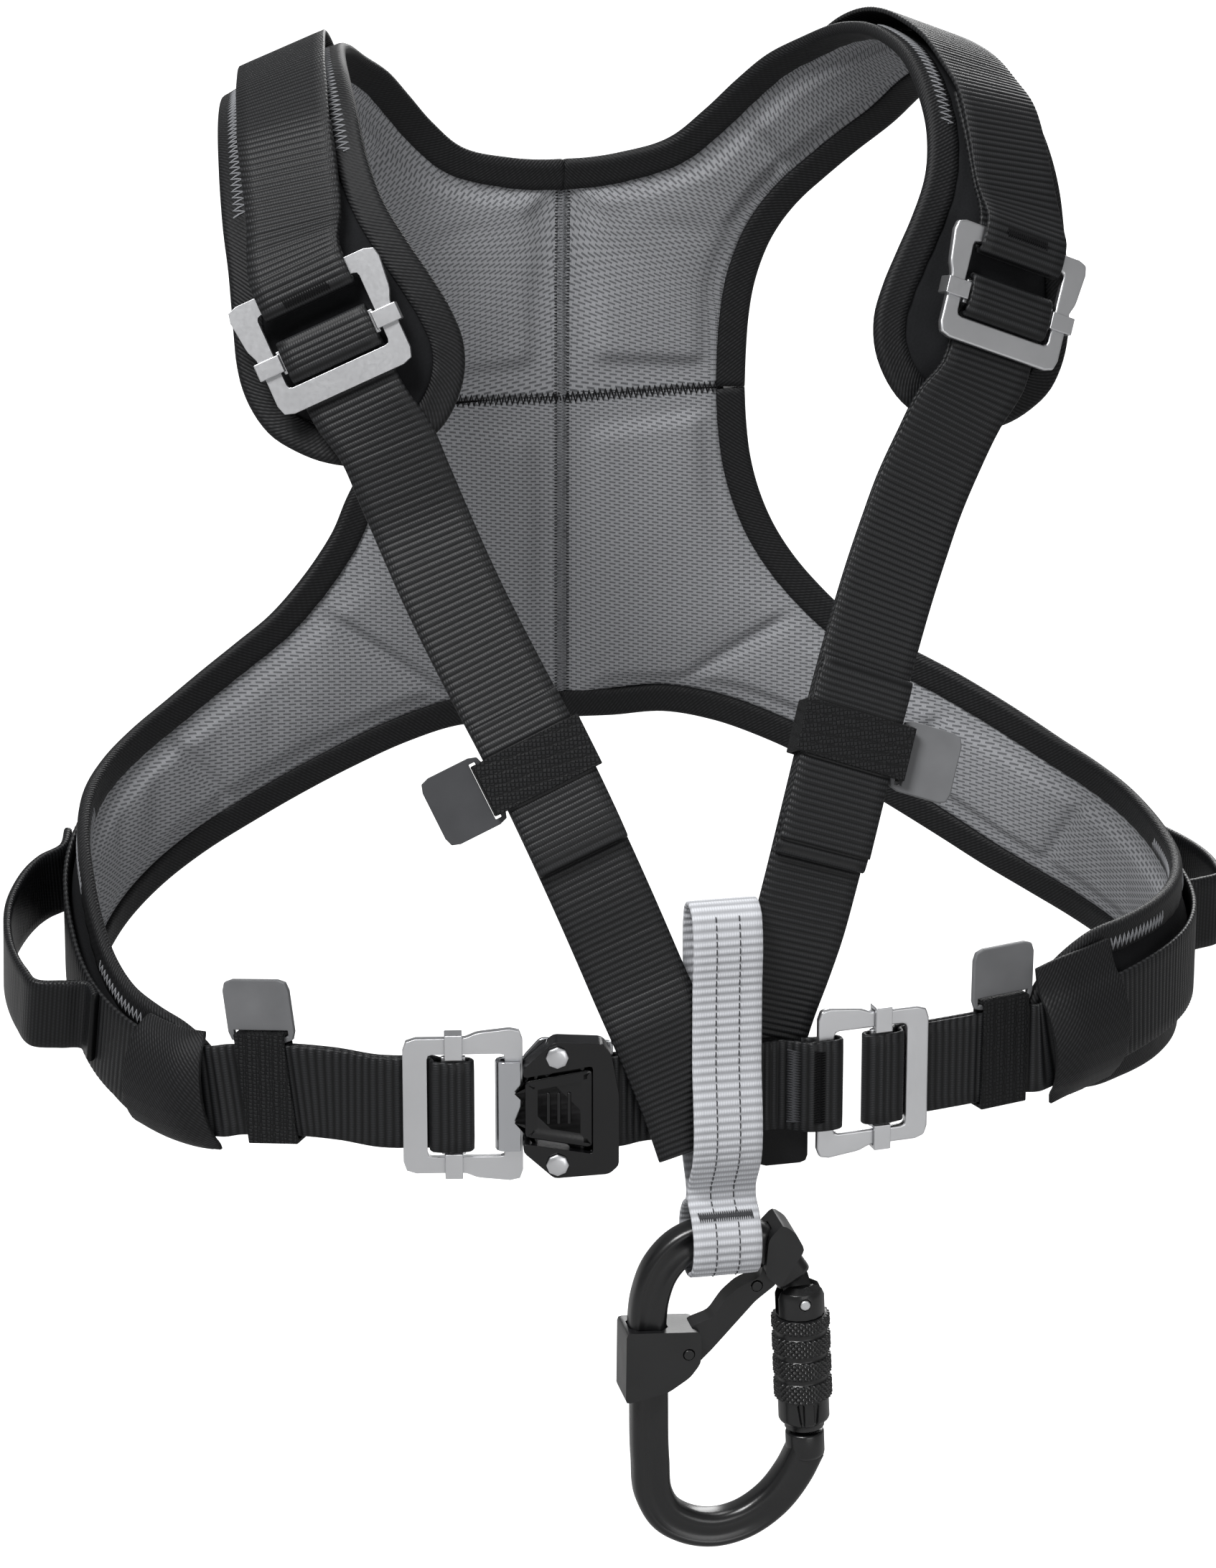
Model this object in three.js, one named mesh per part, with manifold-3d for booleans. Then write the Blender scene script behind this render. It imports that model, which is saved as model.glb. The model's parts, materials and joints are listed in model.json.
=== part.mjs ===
// Climbing chest harness with padded back, front straps, adjusters, front buckle and a locking oval carabiner.
// Millimetres, +Z up, the wearer faces -Y and the wearer's left arm is at +X.
// The origin is where the shoulder pads rest, midway between them.
import * as THREE from 'three';
import { mergeVertices } from 'three/addons/utils/BufferGeometryUtils.js';
import Module from 'manifold-3d';

const wasm = await Module();
wasm.setup();

// Driving dimensions.
// The harness keeps the form of the trunk that wears it: an oval column with a domed shoulder line.
// Heights are counted from the middle of the chest band while the pieces are laid out.
const trunk = {
  halfBreadth: 175,
  halfDepth: 114,
  middleOffset: 5,
  upperHalfDepth: 83,
  upperMiddleOffset: 34,
  taperStart: 40,
  taperRise: 190,
  shoulderBase: 190,
  domeHeight: 114,
  planPower: 2.4,
  domePower: 2.2,
};
const fit = { clearance: 0.3, seamGap: 0.5, tapeGap: 0.9, webRoom: 1, shoulderRestBreadth: 100 };
const padding = {
  thickness: 9,
  edgeThickness: 3,
  slope: 11,
  grooveDepth: 4.5,
  grooveHalfWidth: 0.16,
  rowStep: 0.65,
};
const tape = { width: 10, thickness: 4.2 };
const web = { width: 30, thickness: 1.5, plyGap: 0.45 };
const buckle = {
  length: 37,
  webRoom: 2.1,
  rail: 5.2,
  ear: 3.2,
  plate: 2.4,
  adjusterBar: 7.5,
  fixedBar: 5.5,
  corner: 4,
  earStart: 4,
};
const windowHeight = web.width + 2 * buckle.webRoom;
const frameHeight = windowHeight + 2 * buckle.rail;
const slider = { bar: 7.5, barThickness: 1.6, clip: 5.5, metal: 1.2, plySpace: 4.4, lip: 3 };
const keeper = { width: 17, wall: 1.3, room: 0.7 };
const tab = { width: 22.5, height: 20.5, thickness: 1.8, corner: 3.5, gap: 0.6, bar: 2 };
const hook = { metal: 1.5, sideRoom: 2.35, returnLength: 4.9 };
const hookWidth = windowHeight - 2 * hook.sideRoom;
const cover = { length: 29.5, sideReach: 7.6, thickness: 7.5 };
const coverHalf = web.width / 2 + cover.sideReach;
const release = { gap: 0.4, drop: 1.2 };
const rivet = { headRadius: 3.6, shankRadius: 2, headHeight: 1.6 };
const label = { width: 16, height: 16.5, thickness: 0.9, corner: 2.5, overlap: 3 };
const loop = { width: 22, thickness: 1.6, top: 63, eyeRadius: 9.4, across: 2 };
const carabiner = {
  halfWidth: 26,
  halfLength: 51,
  rod: 12,
  rodDepth: 10,
  across: 5.2,
  gateRadius: 5,
  headRadius: 7.9,
  noseRadius: 6.2,
};
const lockSleeve = { grip: 9.5, neck: 8.2, skirt: 8.3, lip: 6.6, top: 21.4, bottom: -18, noseGap: 1.4 };
const captive = { clipWall: 2, armDepth: 7.2, pinRadius: 1.7, pinHead: 0.5 };
const gearLoop = { height: 26, thickness: 2.6, standOff: 17, foot: 9 };
const endSleeve = { length: 27, thickness: 1.5, room: 0.7 };

// Finishes.
const colours = {
  meshCloth: [0x7d7e82, 0.95, 0],
  tapeCloth: [0x17181a, 0.85, 0],
  webbing: [0x1c1d1f, 0.8, 0],
  elastic: [0x131415, 0.95, 0],
  steel: [0xc8cacd, 0.35, 1],
  polished: [0xa9adb2, 0.2, 1],
  cover: [0x0c0c0d, 0.25, 0],
  tab: [0x606163, 0.6, 0],
  loop: [0xaaacb1, 0.85, 0],
  alloy: [0x111214, 0.35, 0.6],
  label: [0x0e0e0f, 0.5, 0],
  gear: [0x101011, 0.4, 0],
};

function finish(kind) {
  const [color, roughness, metalness] = colours[kind];
  return new THREE.MeshStandardMaterial({ color, roughness, metalness });
}

// The trunk form.
function smooth(t) {
  const k = THREE.MathUtils.clamp(t, 0, 1);
  return k * k * (3 - 2 * k);
}

function trunkMiddle(z) {
  const rise = smooth((z - trunk.taperStart) / trunk.taperRise);
  return THREE.MathUtils.lerp(trunk.middleOffset, trunk.upperMiddleOffset, rise);
}

function trunkHalfDepth(z) {
  const rise = smooth((z - trunk.taperStart) / trunk.taperRise);
  return THREE.MathUtils.lerp(trunk.halfDepth, trunk.upperHalfDepth, rise);
}

function trunkValue(p) {
  const side = Math.abs(p.x) / trunk.halfBreadth;
  const front = Math.abs(p.y - trunkMiddle(p.z)) / trunkHalfDepth(p.z);
  const up = Math.max(0, p.z - trunk.shoulderBase) / trunk.domeHeight;
  return side ** trunk.planPower + front ** trunk.planPower + up ** trunk.domePower - 1;
}

function trunkNormal(p) {
  const step = 0.5;
  const slope = ['x', 'y', 'z'].map((axis) => {
    const ahead = p.clone();
    const behind = p.clone();
    ahead[axis] += step;
    behind[axis] -= step;
    return trunkValue(ahead) - trunkValue(behind);
  });
  return new THREE.Vector3(...slope).normalize();
}

// The point of the form on the line from a core point along a direction.
function trunkHit(core, direction) {
  let near = 0;
  let far = trunk.halfBreadth + trunk.halfDepth + trunk.domeHeight;
  for (let k = 0; k < 40; k += 1) {
    const middle = (near + far) / 2;
    const p = core.clone().addScaledVector(direction, middle);
    if (trunkValue(p) < 0) near = middle;
    else far = middle;
  }
  return core.clone().addScaledVector(direction, (near + far) / 2);
}

// Front of the chest at a breadth and a height.
function atFront(x, z) {
  return trunkHit(new THREE.Vector3(x, trunkMiddle(z), z), new THREE.Vector3(0, -1, 0));
}

// Over a shoulder: 0 degrees is level at the back, 90 the top, 180 level at the front.
function overShoulder(x, degrees) {
  const angle = THREE.MathUtils.degToRad(degrees);
  const core = new THREE.Vector3(x, trunk.upperMiddleOffset, trunk.shoulderBase);
  return trunkHit(core, new THREE.Vector3(0, Math.cos(angle), Math.sin(angle)));
}

// Round the ribs: 0 degrees is the middle of the back, 90 the side.
function roundRibs(degrees, z) {
  const angle = THREE.MathUtils.degToRad(degrees);
  const core = new THREE.Vector3(0, trunkMiddle(z), z);
  return trunkHit(core, new THREE.Vector3(Math.sin(angle), Math.cos(angle), 0));
}

function lifted(p, lift) {
  return p.clone().addScaledVector(trunkNormal(p), lift);
}

// Closed meshes from rings of points; the first half of a ring faces its second half.
function gridGeometry(rings, wrap) {
  const count = rings[0].length;
  const positions = rings.flat().flatMap((p) => [p.x, p.y, p.z]);
  const faces = [];
  const last = wrap ? rings.length : rings.length - 1;
  for (let i = 0; i < last; i += 1) {
    const a = i * count;
    const b = ((i + 1) % rings.length) * count;
    for (let k = 0; k < count; k += 1) {
      const n = (k + 1) % count;
      faces.push(a + k, b + k, b + n, a + k, b + n, a + n);
    }
  }
  if (!wrap) {
    const end = (rings.length - 1) * count;
    for (let k = 0; k < count / 2 - 1; k += 1) {
      const [near, next, far, back] = [k, k + 1, count - 2 - k, count - 1 - k];
      faces.push(near, next, far, near, far, back);
      faces.push(end + near, end + far, end + next, end + near, end + back, end + far);
    }
  }
  const geometry = new THREE.BufferGeometry();
  geometry.setAttribute('position', new THREE.Float32BufferAttribute(positions, 3));
  geometry.setIndex(faces);
  return facingOut(geometry);
}

function signedVolume(geometry) {
  const p = geometry.getAttribute('position');
  const index = geometry.getIndex().array;
  const a = new THREE.Vector3();
  const b = new THREE.Vector3();
  const c = new THREE.Vector3();
  let volume = 0;
  for (let k = 0; k < index.length; k += 3) {
    a.fromBufferAttribute(p, index[k]);
    b.fromBufferAttribute(p, index[k + 1]);
    c.fromBufferAttribute(p, index[k + 2]);
    volume += a.dot(b.cross(c)) / 6;
  }
  return volume;
}

function facingOut(geometry) {
  if (signedVolume(geometry) < 0) {
    const index = geometry.getIndex().array;
    for (let k = 0; k < index.length; k += 3) {
      [index[k + 1], index[k + 2]] = [index[k + 2], index[k + 1]];
    }
  }
  return geometry;
}

// Booleans.
function solid(geometry) {
  const bare = geometry.clone();
  bare.deleteAttribute('normal');
  bare.deleteAttribute('uv');
  const merged = mergeVertices(bare, 1e-4);
  const vertProperties = new Float32Array(merged.getAttribute('position').array);
  const triVerts = new Uint32Array(merged.getIndex().array);
  return new wasm.Manifold(new wasm.Mesh({ numProp: 3, vertProperties, triVerts }));
}

function fromSolid(body) {
  const mesh = body.getMesh();
  const geometry = new THREE.BufferGeometry();
  geometry.setAttribute('position', new THREE.Float32BufferAttribute(mesh.vertProperties, 3));
  geometry.setIndex(Array.from(mesh.triVerts));
  return geometry;
}

function moved(geometry, x, y, z) {
  return geometry.clone().translate(x, y, z);
}

// A guide is a line on the trunk form, measured in millimetres along itself.
class Guide {
  constructor(points, datum) {
    this.curve = new THREE.CatmullRomCurve3(points, false, 'centripetal');
    this.curve.arcLengthDivisions = 400;
    this.length = this.curve.getLength();
    this.start = 0;
    if (datum) this.start = this.nearest(datum);
  }

  nearest(target) {
    let best = 0;
    let least = Infinity;
    for (let k = 0; k <= 400; k += 1) {
      const distance = this.curve.getPointAt(k / 400).distanceTo(target);
      if (distance < least) {
        least = distance;
        best = (k / 400) * this.length;
      }
    }
    return best;
  }

  // Point, direction along, outward normal and direction across, at a length from the datum.
  at(along) {
    const share = THREE.MathUtils.clamp((along + this.start) / this.length, 0, 1);
    const point = onForm(this.curve.getPointAt(share));
    const forward = this.curve.getTangentAt(share);
    const normal = trunkNormal(point);
    normal.addScaledVector(forward, -normal.dot(forward)).normalize();
    const across = normal.clone().cross(forward);
    return { point, forward, normal, across };
  }

  place(along, lift, acrossShift = 0) {
    const frame = this.at(along);
    return frame.point.addScaledVector(frame.normal, lift).addScaledVector(frame.across, acrossShift);
  }
}

// A guide that runs straight and flat where stiff pieces sit on it, given as [middle, reach, blend] rows.
class Seated {
  constructor(guide, seats) {
    this.guide = guide;
    this.seats = seats.map(([middle, reach, blend]) => ({ middle, reach, blend, frame: guide.at(middle) }));
  }

  hold(along) {
    const seat = this.seats.find(({ middle, reach, blend }) => Math.abs(along - middle) < reach + blend);
    if (!seat) return null;
    const offset = along - seat.middle;
    return { ...seat, offset, share: 1 - smooth((Math.abs(offset) - seat.reach) / seat.blend) };
  }

  at(along) {
    const free = this.guide.at(along);
    const held = this.hold(along);
    if (!held) return free;
    for (const name of ['forward', 'normal', 'across']) free[name].lerp(held.frame[name], held.share).normalize();
    return free;
  }

  place(along, lift, acrossShift = 0) {
    const free = this.guide.place(along, lift, acrossShift);
    const held = this.hold(along);
    if (!held) return free;
    const { point, forward, normal, across } = held.frame;
    const flat = point.clone().addScaledVector(forward, held.offset);
    flat.addScaledVector(normal, lift).addScaledVector(across, acrossShift);
    return free.lerp(flat, held.share);
  }
}

// Webbing follows a route of [along, lift] pairs laid on a guide.
function ribbon(guide, route, width, thickness) {
  const centres = route.map(([along, lift]) => guide.place(along, lift));
  const rings = route.map(([along], k) => {
    const ahead = centres[Math.min(k + 1, centres.length - 1)];
    const behind = centres[Math.max(k - 1, 0)];
    const forward = ahead.clone().sub(behind).normalize();
    const across = guide.at(along).across;
    const out = forward.clone().cross(across).normalize();
    return [[1, 1], [-1, 1], [-1, -1], [1, -1]].map(([a, b]) =>
      centres[k].clone().addScaledVector(across, (a * width) / 2).addScaledVector(out, (b * thickness) / 2));
  });
  return gridGeometry(rings, false);
}

// A half turn of a route round a centre, from above to below or back.
function halfTurn(along, lift, radius, direction, fromAbove) {
  const steps = 6;
  return Array.from({ length: steps + 1 }, (_, k) => {
    const angle = (Math.PI * k) / steps;
    const height = Math.cos(angle) * (fromAbove ? radius : -radius);
    return [along + direction * Math.sin(angle) * radius, lift + height];
  });
}

function steadyRoute(from, to, liftAt, step) {
  const count = Math.max(2, Math.round(Math.abs(to - from) / step));
  return Array.from({ length: count + 1 }, (_, k) => {
    const along = THREE.MathUtils.lerp(from, to, k / count);
    return [along, liftAt(along)];
  });
}

// A straight-line table of [position, value] pairs.
function profile(rows) {
  return (at) => {
    if (at <= rows[0][0]) return rows[0][1];
    for (let k = 1; k < rows.length; k += 1) {
      if (at <= rows[k][0]) {
        const share = (at - rows[k - 1][0]) / (rows[k][0] - rows[k - 1][0]);
        return THREE.MathUtils.lerp(rows[k - 1][1], rows[k][1], smooth(share));
      }
    }
    return rows[rows.length - 1][1];
  };
}

// Flat plates with rounded corners, lying in the along-across plane and centred on their thickness.
function roundedOutline(points, radius) {
  const shape = new THREE.Shape();
  points.forEach(([x, y], k) => {
    const here = new THREE.Vector2(x, y);
    const before = new THREE.Vector2(...points[(k + points.length - 1) % points.length]);
    const after = new THREE.Vector2(...points[(k + 1) % points.length]);
    const back = before.clone().sub(here);
    const on = after.clone().sub(here);
    const cut = Math.min(radius, back.length() * 0.45, on.length() * 0.45);
    const entry = here.clone().addScaledVector(back.normalize(), cut);
    const exit = here.clone().addScaledVector(on.normalize(), cut);
    if (k === 0) shape.moveTo(entry.x, entry.y);
    else shape.lineTo(entry.x, entry.y);
    shape.quadraticCurveTo(here.x, here.y, exit.x, exit.y);
  });
  shape.closePath();
  return shape;
}

function rectangle(width, height) {
  return [[-width / 2, -height / 2], [width / 2, -height / 2], [width / 2, height / 2], [-width / 2, height / 2]];
}

function shifted(points, x, y) {
  return points.map(([a, b]) => [a + x, b + y]);
}

// A round hole whose flats stay clear of the radius.
function roundHole(x, y, radius, sides = 10) {
  const reach = radius / Math.cos(Math.PI / sides);
  const angles = Array.from({ length: sides }, (_, k) => (2 * Math.PI * k) / sides);
  return new THREE.Path(angles.map((a) => new THREE.Vector2(x + reach * Math.cos(a), y + reach * Math.sin(a))));
}

function plate(shape, thickness, steps = 3) {
  const options = { depth: thickness, bevelEnabled: false, curveSegments: steps };
  return new THREE.ExtrudeGeometry(shape, options).translate(0, 0, -thickness / 2);
}

// A strip bent in the along-out plane, with one width across.
function bentStrip(points, thickness, width) {
  const line = points.map(([a, b]) => new THREE.Vector2(a, b));
  const left = [];
  const right = [];
  line.forEach((p, k) => {
    const before = line[Math.max(k - 1, 0)];
    const after = line[Math.min(k + 1, line.length - 1)];
    const entry = k ? p.clone().sub(before).normalize() : after.clone().sub(p).normalize();
    const exit = k < line.length - 1 ? after.clone().sub(p).normalize() : entry;
    const mitre = new THREE.Vector2(-(entry.y + exit.y), entry.x + exit.x).normalize();
    const reach = thickness / 2 / Math.max(0.5, mitre.dot(new THREE.Vector2(-entry.y, entry.x)));
    left.push(p.clone().addScaledVector(mitre, reach));
    right.push(p.clone().addScaledVector(mitre, -reach));
  });
  const shape = new THREE.Shape([...left, ...right.reverse()]);
  const strip = new THREE.ExtrudeGeometry(shape, { depth: width, bevelEnabled: false });
  return strip.rotateX(Math.PI / 2).translate(0, width / 2, 0);
}

const harness = new THREE.Group();

function add(name, geometry, kind, parent = harness) {
  const mesh = new THREE.Mesh(geometry, finish(kind));
  mesh.name = name;
  parent.add(mesh);
  return mesh;
}

// A group whose x runs along a guide, y across it and z outwards.
function stationOn(guide, along, lift, acrossShift = 0) {
  const { forward, normal, across } = guide.at(along);
  const group = new THREE.Group();
  group.position.copy(guide.place(along, lift, acrossShift));
  group.quaternion.setFromRotationMatrix(new THREE.Matrix4().makeBasis(forward, across, normal));
  harness.add(group);
  return group;
}

// Padded quarters of the back, each between its own two edges.
// Shoulder quarter rows: breadth as a share of the half breadth, and the angle over the shoulder.
const shoulderRows = [
  { neckOut: 0, neckOver: -18.8, armOut: 0.36, armOver: -18.8 },
  { neckOut: 0, neckOver: -2, armOut: 0.363, armOver: -8 },
  { neckOut: 0, neckOver: 15, armOut: 0.371, armOver: 2 },
  { neckOut: 0.004, neckOver: 32, armOut: 0.389, armOver: 11 },
  { neckOut: 0.17, neckOver: 37, armOut: 0.417, armOver: 19 },
  { neckOut: 0.269, neckOver: 46, armOut: 0.463, armOver: 27 },
  { neckOut: 0.343, neckOver: 57, armOut: 0.537, armOver: 37 },
  { neckOut: 0.417, neckOver: 67, armOut: 0.623, armOver: 51 },
  { neckOut: 0.469, neckOver: 80, armOut: 0.68, armOver: 71 },
  { neckOut: 0.494, neckOver: 95, armOut: 0.714, armOver: 90 },
  { neckOut: 0.503, neckOver: 111, armOut: 0.737, armOver: 107 },
  { neckOut: 0.494, neckOver: 125, armOut: 0.749, armOver: 122 },
  { neckOut: 0.446, neckOver: 137, armOut: 0.749, armOver: 135 },
  { neckOut: 0.394, neckOver: 147, armOut: 0.749, armOver: 147 },
  { neckOut: 0.366, neckOver: 157, armOut: 0.746, armOver: 158 },
  { neckOut: 0.38, neckOver: 167, armOut: 0.729, armOver: 168 },
  { neckOut: 0.429, neckOver: 175.5, armOut: 0.686, armOver: 176.5 },
  { neckOut: 0.509, neckOver: 180.5, armOut: 0.611, armOver: 180.8 },
];
// Side quarter rows: the turn round the ribs, and heights as shares of the shoulder base height.
const sideRows = {
  left: [
    { lowTurn: 0, low: 0.847, highTurn: 35.3, high: 0.847 },
    { lowTurn: 0, low: 0.66, highTurn: 35.8, high: 0.77 },
    { lowTurn: 0, low: 0.45, highTurn: 38, high: 0.7 },
    { lowTurn: 0.3, low: 0.242, highTurn: 39.6, high: 0.63 },
    { lowTurn: 14, low: 0.242, highTurn: 42.6, high: 0.56 },
    { lowTurn: 26, low: 0.215, highTurn: 47, high: 0.49 },
    { lowTurn: 38, low: 0.163, highTurn: 53.5, high: 0.432 },
    { lowTurn: 48.5, low: 0.11, highTurn: 60.5, high: 0.379 },
    { lowTurn: 59, low: 0.058, highTurn: 69, high: 0.337 },
    { lowTurn: 69.5, low: 0, highTurn: 78, high: 0.303 },
    { lowTurn: 80, low: -0.055, highTurn: 87, high: 0.25 },
    { lowTurn: 90, low: -0.09, highTurn: 95, high: 0.18 },
    { lowTurn: 100, low: -0.112, highTurn: 102, high: 0.118 },
    { lowTurn: 108, low: -0.13, highTurn: 109, high: 0.092 },
    { lowTurn: 114, low: -0.118, highTurn: 114.5, high: 0.068 },
    { lowTurn: 117.3, low: -0.065, highTurn: 117.4, high: 0.018 },
  ],
  right: [
    { lowTurn: 0, low: 0.847, highTurn: 35.3, high: 0.847 },
    { lowTurn: 0, low: 0.66, highTurn: 34.7, high: 0.76 },
    { lowTurn: 0, low: 0.45, highTurn: 34.9, high: 0.68 },
    { lowTurn: 0.3, low: 0.242, highTurn: 36.6, high: 0.59 },
    { lowTurn: 14, low: 0.242, highTurn: 40, high: 0.505 },
    { lowTurn: 26, low: 0.215, highTurn: 45.3, high: 0.42 },
    { lowTurn: 37, low: 0.155, highTurn: 51, high: 0.37 },
    { lowTurn: 46, low: 0.085, highTurn: 57, high: 0.326 },
    { lowTurn: 54, low: 0.016, highTurn: 64.5, high: 0.27 },
    { lowTurn: 62, low: -0.047, highTurn: 71, high: 0.23 },
    { lowTurn: 71, low: -0.092, highTurn: 79, high: 0.203 },
    { lowTurn: 82, low: -0.118, highTurn: 88, high: 0.185 },
    { lowTurn: 95, low: -0.126, highTurn: 98, high: 0.176 },
    { lowTurn: 108, low: -0.122, highTurn: 109, high: 0.172 },
    { lowTurn: 119, low: -0.115, highTurn: 119, high: 0.174 },
    { lowTurn: 127.5, low: -0.1, highTurn: 127.5, high: 0.162 },
    { lowTurn: 133, low: -0.04, highTurn: 133.2, high: 0.095 },
  ],
};
// Grooves between the foam blocks, by row number.
const shoulderGrooves = [5.2, 8, 10.6, 13.2];
const sideGrooves = [4.4, 7.2, 9.6, 12];
const seamRows = 3;

function blended(rows, at) {
  const k = Math.min(Math.floor(at), rows.length - 2);
  const t = at - k;
  const names = Object.keys(rows[0]);
  const row = (n) => rows[THREE.MathUtils.clamp(n, 0, rows.length - 1)];
  const value = (name) => {
    const [a, b, c, d] = [row(k - 1)[name], row(k)[name], row(k + 1)[name], row(k + 2)[name]];
    const bend = 2 * a - 5 * b + 4 * c - d;
    const twist = -a + 3 * b - 3 * c + d;
    return 0.5 * (2 * b + (c - a) * t + bend * t * t + twist * t * t * t);
  };
  return Object.fromEntries(names.map((name) => [name, value(name)]));
}

class Quarter {
  constructor(rows, side, kind) {
    this.rows = rows;
    this.sign = side === 'left' ? -1 : 1;
    this.kind = kind;
    this.last = rows.length - 1;
    this.contour = this.makeContour();
  }

  // A point between the inner edge, 0, and the outer edge, 1, of a row.
  pointAt(at, share) {
    const row = blended(this.rows, at);
    if (this.kind === 'shoulder') {
      const out = THREE.MathUtils.lerp(Math.max(0, row.neckOut), row.armOut, share) * trunk.halfBreadth;
      const over = THREE.MathUtils.lerp(row.neckOver, row.armOver, share);
      return overShoulder(this.sign * Math.max(out, fit.seamGap / 2), over);
    }
    const turn = THREE.MathUtils.lerp(Math.max(0, row.lowTurn), row.highTurn, share);
    const height = THREE.MathUtils.lerp(row.low, row.high, share) * trunk.shoulderBase;
    const p = roundRibs(this.sign * turn, at === 0 ? height - fit.seamGap : height);
    if (Math.abs(p.x) < fit.seamGap / 2) p.x = (this.sign * fit.seamGap) / 2;
    return p;
  }

  stationRows() {
    const seam = Array.from({ length: 4 }, (_, k) => (seamRows * k) / 4);
    const count = Math.round((this.last - seamRows) / padding.rowStep);
    const free = Array.from({ length: count + 1 }, (_, k) => THREE.MathUtils.lerp(seamRows, this.last, k / count));
    return [...seam, ...free];
  }

  // The free contour runs from the middle of the back round the tip to the seam at the armhole.
  makeContour() {
    const stations = [];
    const rows = this.stationRows();
    for (const at of rows.filter((value) => value >= seamRows)) stations.push({ at, share: 0 });
    for (const at of rows.slice().reverse()) stations.push({ at, share: 1 });
    const points = stations.map(({ at, share }) => this.pointAt(at, share));
    const probe = 4;
    const toward = this.pointAt(stations[probe].at, 1).sub(points[probe]);
    const list = points.map((point, k) => {
      const before = points[Math.max(k - 1, 0)];
      const after = points[Math.min(k + 1, points.length - 1)];
      const forward = after.clone().sub(before).normalize();
      const normal = trunkNormal(point);
      return { ...stations[k], point, normal, inward: normal.clone().cross(forward).normalize() };
    });
    if (list[probe].inward.dot(toward) < 0) list.forEach((entry) => entry.inward.negate());
    return list;
  }

  inset(at, share, distance) {
    const same = this.contour.filter((entry) => entry.share === share);
    same.sort((a, b) => a.at - b.at);
    if (at <= same[0].at) {
      const p = this.pointAt(at, share);
      return share || at >= seamRows ? p.addScaledVector(same[0].inward, distance) : p;
    }
    const k = Math.min(same.findIndex((entry) => entry.at >= at), same.length - 1);
    const [low, high] = [same[Math.max(k - 1, 0)], same[k]];
    const t = (at - low.at) / (high.at - low.at);
    const inward = low.inward.clone().lerp(high.inward, t).normalize();
    return this.pointAt(at, share).addScaledVector(inward, distance);
  }

  padGeometry(grooves) {
    const stations = [];
    for (const at of this.stationRows()) {
      if (grooves.every((g) => Math.abs(g - at) > padding.grooveHalfWidth * 1.6)) stations.push({ at, groove: 0 });
    }
    grooves.forEach((g) => {
      stations.push({ at: g - padding.grooveHalfWidth, groove: 0 });
      stations.push({ at: g, groove: 1 });
      stations.push({ at: g + padding.grooveHalfWidth, groove: 0 });
    });
    stations.sort((a, b) => a.at - b.at);
    const distance = tape.width + fit.tapeGap;
    const middle = padding.thickness / 2;
    const edge = padding.edgeThickness / 2;
    const rings = stations.map(({ at, groove }) => {
      const inner = this.inset(at, 0, at < seamRows ? 0 : distance);
      const outer = this.inset(at, 1, distance);
      const slope = Math.min(0.34, padding.slope / inner.distanceTo(outer));
      const shares = [0, slope, 0.5, 1 - slope, 1];
      const along = shares.map((share) => onForm(inner.clone().lerp(outer, share)));
      const atEdge = (k) => k === 0 || k === shares.length - 1;
      const under = along.map((p, k) => lifted(p, atEdge(k) ? middle - edge : groove * padding.grooveDepth));
      const above = along.map((p, k) => lifted(p, atEdge(k) ? middle + edge : padding.thickness));
      return [...under, ...above.reverse()];
    });
    return gridGeometry(rings, false);
  }

  bindingGeometry() {
    const middle = padding.thickness / 2;
    const rings = this.contour.map(({ point, inward }) => {
      const edge = onForm(point);
      const inner = onForm(point.clone().addScaledVector(inward, tape.width));
      return [
        lifted(edge, middle - tape.thickness / 2),
        lifted(inner, middle - tape.thickness / 2),
        lifted(inner, middle + tape.thickness / 2),
        lifted(edge, middle + tape.thickness / 2),
      ];
    });
    return gridGeometry(rings, false);
  }
}

// Brings a point that was moved along the form back onto it.
function onForm(p) {
  const core = new THREE.Vector3(p.x, trunkMiddle(p.z), Math.min(p.z, trunk.shoulderBase));
  const out = p.clone().sub(core);
  if (Math.abs(out.y) < trunkHalfDepth(p.z) * 0.55 && p.z < trunk.shoulderBase) {
    core.x = 0;
    out.copy(p).sub(core);
  }
  return trunkHit(core, out.normalize());
}

const quarters = {};
for (const side of ['left', 'right']) {
  quarters[side] = {
    shoulder: new Quarter(shoulderRows, side, 'shoulder'),
    ribs: new Quarter(sideRows[side], side, 'side'),
  };
  const { shoulder, ribs } = quarters[side];
  add(`shoulder_pad_${side}`, shoulder.padGeometry(shoulderGrooves), 'meshCloth');
  add(`side_pad_${side}`, ribs.padGeometry(sideGrooves), 'meshCloth');
  add(`shoulder_binding_${side}`, shoulder.bindingGeometry(), 'tapeCloth');
  add(`side_binding_${side}`, ribs.bindingGeometry(), 'tapeCloth');
}

// Layers of webbing on the chest, from the body outwards.
const ply = web.thickness + web.plyGap;
const half = web.thickness / 2;
const chestLayer = (count) => 1 + half + count * ply;
const chestPlate = chestLayer(2) + half + web.plyGap + buckle.plate / 2;
const padLayer = (count) => padding.thickness + fit.webRoom + half + count * ply;
const shoulderPlate = padLayer(1) + half + web.plyGap + buckle.plate / 2;

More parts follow.
